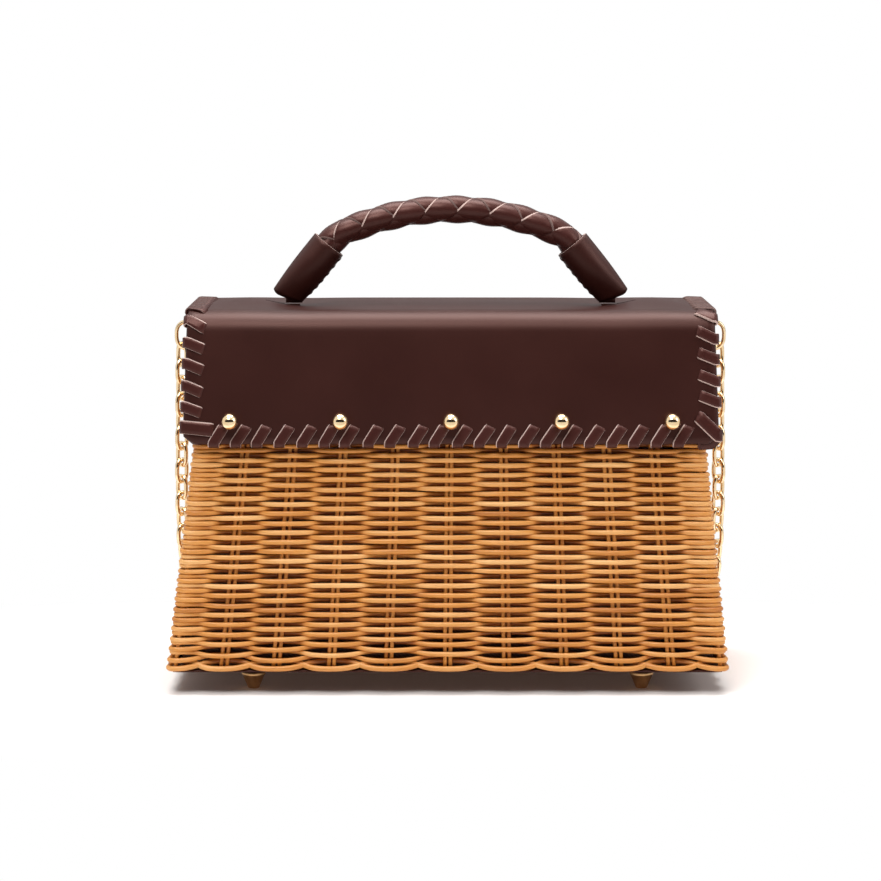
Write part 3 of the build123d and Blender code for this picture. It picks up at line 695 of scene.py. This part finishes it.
leather_cover = cover.piece("leather_cover", [calf], None, "leather", ["flap", "back_panel"])
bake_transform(leather_cover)

# Slits in the flap beside the handle's feet, drawn as thin dark strips on the leather: painted shade of the
# cuts.
sleeve_x = 77 * mm
slit_from, slit_to = sleeve_x + 2 * mm, sleeve_x + 11 * mm
slit_half, slit_rise = 0.45 * mm, 0.12 * mm
slits = Gather()
ridge = outside[np.argmin(np.abs(cover_run - middle_run))]
for sign in (-1, 1):
    slit_x = sign * np.linspace(slit_from, slit_to, 9)
    path = np.column_stack([np.interp(slit_x, ridge[:, 0], ridge[:, k]) for k in range(3)])
    slits.add(*sweep(path, back_way, up_way, oval(slit_half, slit_rise, 8)))
slits.piece("handle_slit_shadows", [slit_shade], "flap", "leather", ["flap"])

# Lacing: flat bands through slits along the edges of the flap, with pale cut edges that are drawn darker with
# painted shade on the stitches over the top.
lace_width = 5.2 * mm
lace_thickness = 1.15 * mm
lace_depth = 7.2 * mm
lace_gap = 0.1 * mm
lace_reach = leather / 2 + lace_gap + lace_thickness / 2
on_flap = cover_run >= panel_length
flap_line, flap_out, flap_halves = cover_line[on_flap], cover_out[on_flap], flap_half_at[on_flap]
flap_run = lengths_along(flap_line)
front_up = unit(crease_point - edge_point)
front_out = cover_out[-1]


def front_place(along, inward, lift):
    """Points at the front edge: along it, up from it and out from the middle of the leather."""
    spot = edge_point + front_up * np.asarray(inward)[:, None] + front_out * np.asarray(lift)[:, None]
    return np.column_stack([along, spot])


def side_place(sign):
    """The same for a side edge, along the flap from the hinge line."""

    def place(along, inward, lift):
        spot = at_lengths(along, flap_run, flap_line)
        spot = spot + unit(at_lengths(along, flap_run, flap_out)) * np.asarray(lift)[:, None]
        return np.column_stack([sign * (np.interp(along, flap_run, flap_halves) - inward), spot])

    return place


half_band, half_thick = lace_width / 2, lace_thickness / 2
wide_cut, narrow_cut = 0.45 * mm, 0.1 * mm
lace_profile = [
    (-half_band, -half_thick),
    (half_band, -half_thick),
    (half_band, 0.3 * half_thick),
    (half_band - narrow_cut, 0.9 * half_thick),
    (0.4 * half_band, 1.05 * half_thick),
    (-0.4 * half_band, 1.05 * half_thick),
    (-half_band + wide_cut, 0.95 * half_thick),
    (-half_band, -0.2 * half_thick),
]
lace_pale_sides = (2, 6, 7)


def stitch(into, place, along, slant, depth=lace_depth, widen=1.0, edge=1):
    """One turn of the lace: out of a slit, over the edge and back behind to the next slit."""
    dive = np.array([-0.3, 0.1, 0.8, 1.0])
    entry = depth + np.array([0.45, 0.4, 0.1, -0.7]) * mm
    down = np.linspace(depth - 1.7 * mm, 0.5 * mm, 5)
    turn = np.linspace(0, np.pi, 9)
    level, flat = np.ones(len(down)), np.zeros(len(turn))
    inward = np.concatenate([entry, down, -lace_reach * np.sin(turn), down[::-1], entry[::-1]])
    lift = lace_reach * np.concatenate([dive, level, np.cos(turn), -level, -dive[::-1]])
    lean = slant * np.concatenate([entry, down, flat, -down[::-1], -entry[::-1]])
    path = place(along + lean, inward, lift)
    tangent = courses(path)
    small = 0.01 * mm
    before = len(entry) + len(down)
    bend = slice(before, before + len(turn))
    ends = [0, 1, -1, -2]
    normal = place(along + lean, inward, lift + small) - path
    normal[before + len(turn) // 2 + 1 :] *= -1
    normal[bend] = path[bend] - place(along + lean[bend], flat, flat)
    normal[ends] = (place(along + lean, inward + small, lift) - path)[ends]
    normal = square_to(normal, tangent)
    profile = np.array(lace_profile) * [widen, 1.0]
    into.add(*band(path, np.cross(normal, tangent), normal, profile, lace_pale_sides, edge))


front_first, front_pitch, front_count = -110 * mm, 10.24 * mm, 22
front_slant = math.tan(math.radians(33))
place_spread, slant_spread = 0.2 * mm, 0.04
front_lace = Gather()
for k in range(front_count):
    along = front_first + k * front_pitch + rng.normal(0, place_spread)
    stitch(front_lace, front_place, along, front_slant + rng.normal(0, slant_spread))
front_lace.piece("front_edge_lace", [lace_leather, cut_edge], "flap", "lace", ["front_lacing"])

side_count = 13
side_slant = math.tan(math.radians(24))
for sign, side_name, first, pitch, corner in (
    (-1, "left", 16.8 * mm, 10.0 * mm, (7.5 * mm, 0.1, 13 * mm, 1.2)),
    (1, "right", 19.0 * mm, 9.7 * mm, (3.5 * mm, -1.0, 8.5 * mm, 1.15)),
):
    side_lace = Gather()
    for k in range(side_count):
        along = flap_run[-1] - first - k * pitch + rng.normal(0, place_spread)
        # Stitches back from the front drop get the cut edge with painted shade.
        edge = 1 if flap_run[-1] - along < drop_length else 2
        slant = -sign * side_slant + rng.normal(0, slant_spread)
        stitch(side_lace, side_place(sign), along, slant, edge=edge)
    from_edge, slant, depth, widen = corner
    stitch(side_lace, side_place(sign), flap_run[-1] - from_edge, slant, depth, widen)
    skins = [lace_leather, cut_edge, painted_shade_edge]
    side_lace.piece(side_name + "_edge_lace", skins, "flap", "lace", [side_name + "_lacing"])

# Ball studs on short necks.
studs = Gather()
stud_count = 5
ball_radius = 3.95 * mm
neck_radius, neck_height = 2.2 * mm, 1.3 * mm
stud_pitch, stud_inward = 51 * mm, 10.0 * mm
ball_centre = neck_height + math.sqrt(ball_radius**2 - neck_radius**2)
ball_turns = np.linspace(math.pi - math.asin(neck_radius / ball_radius), 0.02, 24)
flange_radius, flange_height = 1.25 * neck_radius, 0.35 * mm
neck_foot, stud_sink = 0.5 * mm, 0.5 * mm
stud_profile = [
    (0.6 * neck_radius, -stud_sink),
    (flange_radius, -stud_sink),
    (flange_radius, flange_height),
    (neck_radius, neck_foot),
]
for turn in ball_turns:
    stud_profile.append((ball_radius * math.sin(turn), ball_centre + ball_radius * math.cos(turn)))
for k in range(stud_count):
    spot = front_place([(k - (stud_count - 1) / 2) * stud_pitch], [stud_inward], [leather / 2])[0]
    studs.add(*turned(stud_profile, spot, np.array([0.0, *front_out])))
studs.piece("gold_studs", [gold], "flap", "gold_metal", ["ball_studs"])

# Handle line: straight in the sleeves, tight shoulders and a wide crown.
sleeve_angle, crown_angle = math.radians(51), math.radians(23.5)
sleeve_length = 30.4 * mm
sleeve_lift = 2.6 * mm
shoulder_radius = 22.5 * mm


def away_at(angle):
    """Direction from an arc's centre to the handle line where it climbs at an angle."""
    return np.array([-math.sin(angle), 0.0, math.cos(angle)])


sleeve_foot = np.array([-sleeve_x, 0.0, pivot[2] + sleeve_lift])
sleeve_way = np.array([math.cos(sleeve_angle), 0.0, math.sin(sleeve_angle)])
sleeve_top = sleeve_foot + sleeve_way * sleeve_length
shoulder_centre = sleeve_top - away_at(sleeve_angle) * shoulder_radius
crown_start = shoulder_centre + away_at(crown_angle) * shoulder_radius
crown_radius = -crown_start[0] / math.sin(crown_angle)
crown_centre = crown_start - away_at(crown_angle) * crown_radius
braid_insert, braid_step = 6 * mm, 0.7 * mm
half_line = [sleeve_top - sleeve_way * braid_insert, sleeve_top]
for centre, radius, angles in (
    (shoulder_centre, shoulder_radius, np.linspace(sleeve_angle, crown_angle, 30)),
    (crown_centre, crown_radius, np.linspace(crown_angle, 0, 40)),
):
    half_line += [centre + radius * away_at(angle) for angle in angles[1:]]
handle_line = np.concatenate([half_line, np.array(half_line)[-2::-1] * [-1, 1, 1]])
handle_run = lengths_along(handle_line)
centre_run = np.linspace(0, handle_run[-1], int(handle_run[-1] / braid_step) + 1)
centre_line = at_lengths(centre_run, handle_run, handle_line)

# Braid: two flat strands wind each way round the core, over and under by turns.
braid = Gather()
strand_width = 11.8 * mm
strand_thickness = 1.5 * mm
braid_radius = 5.15 * mm
braid_swing = 0.8 * mm
crossing_pitch, crossing_shift = 15.4 * mm, 4.1 * mm
strand_bow = 19 * mm
strand_tilt = 0.04
strand_cut = 0.5 * mm
inner_radius = 4.4 * mm
rise = unit(np.cross(courses(centre_line), back_way))
rise = rise * np.sign(rise[:, 2:])
phase = np.pi * (centre_run - centre_run[-1] / 2 + crossing_shift) / crossing_pitch
half_strand = strand_width / 2
spread = np.append(np.linspace(-half_strand, half_strand - strand_cut, 9), half_strand)
height = strand_thickness / 2 - spread**2 / strand_bow + strand_tilt * spread
height[-1] -= 0.8 * strand_cut
under = [(half_strand, height[-1] - strand_thickness / 2), (-half_strand, height[0] - strand_thickness)]
strand_profile = np.concatenate([np.column_stack([spread, height]), under])
strand_pale_sides = (8, 9)
for direction in (1, -1):
    for start in (0.0, math.pi):
        turn = direction * phase + start
        radius = braid_radius + direction * braid_swing * np.cos(2 * phase)
        reach = np.sin(turn)[:, None] * rise - np.cos(turn)[:, None] * back_way
        path = centre_line + reach * radius[:, None]
        along = courses(path)
        out = square_to(reach, along)
        across = direction * np.cross(out, along)
        # Strands that wind one way get the cut edge with painted shade.
        edge = 1 if direction > 0 else 2
        braid.add(*band(path, across, out, strand_profile, strand_pale_sides, edge))
braid.add(*sweep(centre_line, -back_way, rise, oval(inner_radius, inner_radius, 14)))
braid.piece("braided_handle", [lace_leather, cut_edge, painted_shade_edge], "handle", "lace", ["handle_braid"])

# Sleeves: rolled leather over the ends of the braid, pressed flatter at the foot, with a laced seam beneath.
sleeve_radius = 8.5 * mm
sleeve_wall = 1.5 * mm
foot_wide, foot_deep = 7.7 * mm, 4.0 * mm
foot_angle = math.radians(68)
sleeve_sides = 48
sleeve_round = 0.25 * mm
foot_rounding = ((2.1 * mm, 0.3), (1.7 * mm, 0.6), (1.2 * mm, 0.78), (0.6 * mm, 0.94))
lip_depths = np.array([0.0, 1.0, 6.0, 10.0]) * mm
nose_round = 1.4 * mm
tongue_inset, tongue_reach = 2.5 * mm, 4.0 * mm
tongue_rises = np.array([2.6, 4.0]) * mm
nose_turn = np.linspace(-1.4, 0.0, 6)
tongue_lift = np.append(nose_round * np.sin(nose_turn), tongue_rises)
tongue_half = np.append(nose_round * np.cos(nose_turn), np.full(len(tongue_rises), nose_round))
tongue_profile = np.array([oval(tongue_reach, half, 16) for half in tongue_half])
seam_shares = np.linspace(0.2, 0.93, 6)
seam_bow = np.linspace(-0.3, 0.3, 9)
seam_run = seam_bow / seam_bow[-1]
seam_hump = 0.06 * mm * np.cos(1.45 * seam_run)
seam_slant = 1.0 * mm
seam_shape = oval(0.6 * mm, 0.3 * mm, 8)
straight_from, full_from = 0.5, 0.7


def sleeve_ring(sign, share):
    """Centre, wide axis and half sizes of the sleeve at a share of its length."""
    angle = foot_angle + (sleeve_angle - foot_angle) * min(share / straight_from, 1.0)
    wide_way = -away_at(angle) * [-sign, 1, 1]
    centre = (sleeve_foot + sleeve_way * sleeve_length * share) * [-sign, 1, 1]
    full = math.sin(min(share / full_from, 1.0) * math.pi / 2)
    wide = foot_wide + (sleeve_radius - foot_wide) * full
    return centre, wide_way, wide, foot_deep + (sleeve_radius - foot_deep) * full


sleeve_turn = 2 * np.pi * np.arange(sleeve_sides) / sleeve_sides
around_wide, around_deep = np.cos(sleeve_turn)[:, None], np.sin(sleeve_turn)[:, None]
for sign, side_name in two_sides:
    sleeve = Gather()
    way = sleeve_way * [-sign, 1, 1]
    foot_down = np.array([-math.cos(foot_angle), 0.0, -math.sin(foot_angle)]) * [-sign, 1, 1]
    centre, wide_way, wide, deep = sleeve_ring(sign, 0.0)
    rings = []
    for drop, share in foot_rounding:
        rings.append((centre + foot_down * drop, wide_way, wide - deep * (1 - share), deep * share))
    rings += [sleeve_ring(sign, share) for share in np.linspace(0, 1, 20)]
    centre, wide_way, wide, deep = rings[-1]
    lip = centre + way * sleeve_round
    rings.append((lip, wide_way, wide - sleeve_round, deep - sleeve_round))
    for back in lip_depths:
        rings.append((lip - way * back, wide_way, wide - sleeve_wall, deep - sleeve_wall))
    points = [
        centre + around_wide * wide_way * wide + around_deep * back_way * deep
        for centre, wide_way, wide, deep in rings
    ]
    faces = tube_faces(len(rings), sleeve_sides)
    lip_row = len(rings) - len(lip_depths) - 1
    marks = [int(k // sleeve_sides == lip_row and k < len(faces) - 2) for k in range(len(faces))]
    sleeve.add(np.array(points), faces, marks)
    tongue_foot = np.array([sign * (sleeve_x - tongue_inset), 0.0, pivot[2]])
    tongue = tongue_foot + tongue_lift[:, None] * up_way
    sleeve.add(*sweep(tongue, right_way, back_way, tongue_profile))
    for share in seam_shares:
        centre, wide_way, wide, deep = sleeve_ring(sign, share)
        path = centre + wide_way * (wide * np.cos(seam_bow) + seam_hump)[:, None]
        path = path + back_way * (deep * np.sin(seam_bow))[:, None] + way * (seam_slant * seam_run)[:, None]
        along = courses(path)
        out = square_to(wide_way, along)
        sleeve.add(*sweep(path, np.cross(out, along), out, seam_shape))
    sleeve.piece(side_name + "_sleeve", [calf, cut_edge], "handle", "leather", ["sleeve_" + side_name])

# Chain strap: the route of its middle line, from the right ring behind the bag to the left ring.
side_fall = [
    (0.1320, 0.0518, 0.1528),
    (0.1325, 0.0525, 0.1120),
    (0.1332, 0.0540, 0.0720),
    (0.1316, 0.0605, 0.0310),
    (0.1195, 0.0780, 0.0050),
]
floor_bends = [(0.092, 0.096), (0.056, 0.089), (0.018, 0.098)]
floor_bends += [(-0.022, 0.096), (-0.058, 0.086), (-0.092, 0.095)]
chain_points = side_fall + [(x, y, side_fall[-1][2]) for x, y in floor_bends]
chain_points += [(-x, y, z) for x, y, z in side_fall[::-1]]
route_curve = bpy.data.curves.new("chain_route", "CURVE")
route_curve.dimensions = "3D"
spline = route_curve.splines.new("NURBS")
spline.points.add(len(chain_points) - 1)
for point, spot in zip(spline.points, chain_points):
    point.co = (*spot, 1.0)
spline.order_u = 3
spline.use_endpoint_u = True
spline.resolution_u = 24
route_object = bpy.data.objects.new("chain_route", route_curve)
route_mesh = bpy.data.meshes.new_from_object(route_object)
route = np.array([vertex.co[:] for vertex in route_mesh.vertices])
bpy.data.objects.remove(route_object)
bpy.data.meshes.remove(route_mesh)
route_run = lengths_along(route)

link_count = 67
link_wire = 2.2 * mm
link_width = 8.4 * mm
link_play = 0.5 * mm
link_roll = math.radians(45)
link_power = 0.75
link_pitch = route_run[-1] / link_count
link_run = (np.arange(link_count) + 0.5) * link_pitch
link_spot = at_lengths(link_run, route_run, route)
ahead, behind = (at_lengths(link_run + step, route_run, route) for step in (link_pitch / 3, -link_pitch / 3))
link_course = unit(ahead - behind)
link_side = [right_way]
for way in link_course[1:]:
    link_side.append(square_to(link_side[-1], way))
last_side = square_to(right_way, link_course[-1])
end_turn = math.atan2(np.cross(link_side[-1], last_side) @ link_course[-1], link_side[-1] @ last_side)
end_turn -= math.pi * round(end_turn / math.pi)
chain = Gather()
bow_turn = 2 * np.pi * np.arange(30) / 30
half_long = (link_pitch + link_play + link_wire) / 2
half_wide = (link_width - link_wire) / 2
link_wide = half_wide * signed_power(np.cos(bow_turn), link_power)
link_long = half_long * signed_power(np.sin(bow_turn), link_power)
for k in range(link_count):
    twist = link_roll + end_turn * (k + 0.5) / link_count + math.pi / 2 * (k % 2 + 1)
    way = link_course[k]
    side = square_to(link_side[k], way)
    side = side * math.cos(twist) + np.cross(way, side) * math.sin(twist)
    path = link_spot[k] + link_wide[:, None] * side + link_long[:, None] * way
    chain.add(*wire_loop(path, np.cross(way, side), link_wire / 2, 10))
chain_strap = chain.piece("chain_links", [gold], "basket", "gold_metal", ["chain_strap"])

# Rings, folded leather tabs and rivets on the back panel.
back_up = unit([0.0, -wall_slope[1], 1.0])
back_out = unit([0.0, 1.0, wall_slope[1]])
on_leather = 0.1 * mm
wire_radius = 1.0 * mm
bar_steps = 10
ring_turn = np.linspace(math.pi / 2, -math.pi / 2, 24)
ring_bow = np.append(np.cos(ring_turn) ** 0.6, np.zeros(bar_steps))
ring_rise = np.append(signed_power(np.sin(ring_turn), 0.75), np.linspace(-1, 1, bar_steps + 2)[1:-1])
tab_fold, tab_flat = 4.8 * mm, 2.0 * mm
tab_round = 0.4 * mm
tab_grip, tab_ramp = 10 * mm, 1.6 * mm
rivet_radius, rivet_height, rivet_sink = 3.0 * mm, 1.0 * mm, 0.6 * mm
rivet_profile = [
    (0.3 * rivet_radius, -rivet_sink),
    (rivet_radius, -rivet_sink),
    (rivet_radius, 0.25 * rivet_height),
]
for turn in np.linspace(0, 1.5, 8):
    rivet_profile.append((rivet_radius * math.cos(turn), rivet_height * (0.3 + 0.7 * math.sin(turn))))


def panel_spot(x, z, out):
    """Point on the outer face of the back panel, moved out by a length."""
    foot = np.array([x, hinge[1] + wall_slope[1] * (hinge[2] - z), z])
    return foot + back_out * (leather / 2 + out)


for sign, side_name in two_sides:
    low, high = node_box("ring_" + side_name)
    inner_x, outer_x = (low[0], high[0])[::sign]
    ring_x = inner_x + sign * wire_radius + (outer_x - inner_x - 2 * sign * wire_radius) * ring_bow
    ring_up = ((high[2] - low[2]) / 2 - wire_radius) * ring_rise
    middle = (low + high) / 2 * [0, 1, 1]
    path = middle + ring_up[:, None] * back_up + ring_x[:, None] * right_way
    ring = Gather().add(*wire_loop(path, back_out, wire_radius, 12))
    ring.piece("chain_ring_" + side_name, [gold], "basket", "gold_metal", ["ring_" + side_name])

    low, high = node_box("tab_" + side_name)
    inner_x, outer_x = (low[0], high[0])[::sign]
    step_x = inner_x + sign * tab_grip
    half_fold = tab_fold / 2
    nose_x = outer_x - sign * half_fold
    tab_profile = [(inner_x, 0.0), (inner_x + sign * tab_round, 0.0)]
    for turn in np.linspace(-math.pi / 2, math.pi / 2, 12):
        tab_profile.append((nose_x + sign * half_fold * math.cos(turn), half_fold * (1 + math.sin(turn))))
    tab_profile += [(step_x + sign * tab_ramp, tab_fold), (step_x, tab_flat), (inner_x, tab_flat)]
    tab_profile = np.array(tab_profile)
    tab_middle = (tab_profile.min(0) + tab_profile.max(0)) / 2
    half_tab = (high[2] - low[2] - tab_fold * wall_slope[1]) / 2
    heights = np.array([-1, -1 + 0.3 * tab_round / half_tab, -1 + tab_round / half_tab])
    heights = half_tab * np.concatenate([heights, [0.0], -heights[::-1]])
    tucks = np.array([1.0, 0.3, 0.0, 0.0, 0.0, 0.3, 1.0]) * tab_round
    shape = tab_profile[None] - np.sign(tab_profile - tab_middle)[None] * tucks[:, None, None]
    shape[..., 1] = np.maximum(shape[..., 1], 0.0)
    base = panel_spot(0.0, (low[2] + high[2]) / 2, on_leather)
    tab = Gather().add(*sweep(base + heights[:, None] * back_up, right_way, back_out, shape))
    tab.piece("leather_tab_" + side_name, [calf], "basket", "leather", ["tab_" + side_name])

for name, node, out in (
    ("back_rivets", "panel_rivets", on_leather),
    ("fold_rivets", "tab_rivets", on_leather + tab_flat),
):
    low, high = node_box(node)
    rivets = Gather()
    for x in (low[0] + rivet_radius, high[0] - rivet_radius):
        rivets.add(*turned(rivet_profile, panel_spot(x, (low[2] + high[2]) / 2, out), back_out))
    rivets.piece(name, [gold], "basket", "gold_metal", [node])

# Nodes that keep their own shape.
kept = {
    "basket_magnet": steel,
    "stud_washers": brass,
    "flap_magnet": steel,
    "anchor_left": calf,
    "anchor_right": calf,
    "handle_core": cotton,
}
for name, material in kept.items():
    mesh = frame["nodes"][name].data
    mesh.materials.clear()
    mesh.materials.append(material)

# Floor: white paper that keeps the shadow near the bag and fades to plain white.
# A faint warm glow painted into the floor lifts and tints the shadow under the bag, as light bounced from the
# bag would.
scene = bpy.context.scene
scene.view_settings.view_transform = "Standard"


def stage_plane(name, corners, material):
    """Flat sheet of the set, which isn't part of the object."""
    mesh = bpy.data.meshes.new(name)
    mesh.from_pydata(corners, [], [(0, 1, 2, 3)])
    mesh.materials.append(material)
    obj = put(name, mesh)
    return obj


floor_reach = 6.0
paper = Skin("floor_paper", Roughness=0.9, Specular_IOR_Level=0.1, Base_Color=(0.95, 0.92, 0.90, 1.0))


def seen_rays(tree):
    """1 for the rays that show the background: camera, glossy and transmission."""
    rays = add_node(tree, "ShaderNodeLightPath").outputs
    seen = rays["Is Camera Ray"]
    for kind in ("Is Glossy Ray", "Is Transmission Ray"):
        seen = add_node(tree, "ShaderNodeMath", {0: seen, 1: rays[kind]}, operation="MAXIMUM").outputs[0]
    return seen


floor_squash = 0.45
fade_start, fade_end, shadow_glow = 0.09, 0.22, 0.04
# Colour of the painted glow, which turns to white a little way out.
glow_colour, glow_end = (1.0, 0.45, 0.25, 1.0), 0.15
spot = paper.place((floor_squash, 1.0, 1.0))
distance = paper.node("ShaderNodeVectorMath", {0: spot}, operation="LENGTH").outputs["Value"]
fade = paper.node(
    "ShaderNodeMapRange",
    {"Value": distance},
    interpolation_type="SMOOTHSTEP",
    From_Min=fade_start,
    From_Max=fade_end,
    To_Min=shadow_glow,
).outputs["Result"]
share = paper.node("ShaderNodeMath", {0: fade, 1: seen_rays(paper.tree)}, operation="MULTIPLY").outputs[0]
warm = paper.node("ShaderNodeValToRGB", {"Fac": fade})
warm.color_ramp.elements[0].color = glow_colour
warm.color_ramp.elements[1].position = glow_end
white = paper.node("ShaderNodeEmission", {"Color": warm.outputs["Color"]}).outputs["Emission"]
both = paper.node("ShaderNodeMixShader", {"Fac": share, 1: paper.shader.outputs["BSDF"], 2: white})
paper.tree.links.new(both.outputs["Shader"], paper.tree.nodes["Material Output"].inputs["Surface"])
corners = [(x * floor_reach, y * floor_reach, 0) for x, y in ((-1, -1), (1, -1), (1, 1), (-1, 1))]
stage_plane("floor", corners, paper.material)

# World: white where it is seen, dimmer as light.
fill_light = 0.3
scene.world = bpy.data.worlds.new("studio")
scene.world.use_nodes = True
sky = scene.world.node_tree
level = add_node(sky, "ShaderNodeMapRange", {"Value": seen_rays(sky)}, To_Min=fill_light)
sky.nodes["Background"].inputs["Color"].default_value = (1.0, 1.0, 1.0, 1.0)
sky.links.new(level.outputs["Result"], sky.nodes["Background"].inputs["Strength"])

# Studio walls, dark behind the camera and grey behind the bag, which only reflections and light meet.
studio_half = 4
for name, y, height, grey in (("front_wall", -2.3, 1.7, 0.02), ("rear_wall", 2.6, 1.6, 0.6)):
    paint = Skin(name, Roughness=0.9, Base_Color=(grey, grey, grey, 1.0)).material
    corners = [(x * studio_half, y, z) for x, z in ((-1, 0), (1, 0), (1, height), (-1, height))]
    stage_plane(name, corners, paint).visible_camera = False

lamp_target = Vector((0.0, 0.0, 0.1))


def aim(obj, spot, target):
    """Puts a lamp or the camera at a spot and turns it to a target."""
    obj.location = spot
    obj.rotation_euler = (target - obj.location).to_track_quat("-Z", "Y").to_euler()


def softbox(name, spot, size, power):
    """Area lamp that looks at the bag."""
    lamp = bpy.data.lights.new(name, "AREA")
    lamp.shape = "RECTANGLE"
    lamp.size, lamp.size_y = size
    lamp.energy = power
    aim(put(name, lamp), spot, lamp_target)


softbox("top_light", (0.0, 0.05, 1.25), (1.1, 0.7), 20.0)
softbox("front_light", (-0.4, -1.2, 1.6), (0.9, 0.7), 21.0)
softbox("right_light", (1.3, -0.5, 0.8), (0.5, 0.8), 4.5)

# Camera at the photograph's angle.
photo_pixels = 881
pixel_size = 0.4594 * mm
camera_distance = 1.5
camera_rise = math.radians(6.5)
target = Vector((-4.8 * mm, wall_low[1], 119 * mm))
camera_data = bpy.data.cameras.new("camera")
camera_data.sensor_width = 36.0
camera_data.lens = camera_data.sensor_width * camera_distance / (pixel_size * photo_pixels)
scene.camera = put("camera", camera_data)
away = Vector((0.0, -math.cos(camera_rise), math.sin(camera_rise)))
aim(scene.camera, target + camera_distance * away, target)
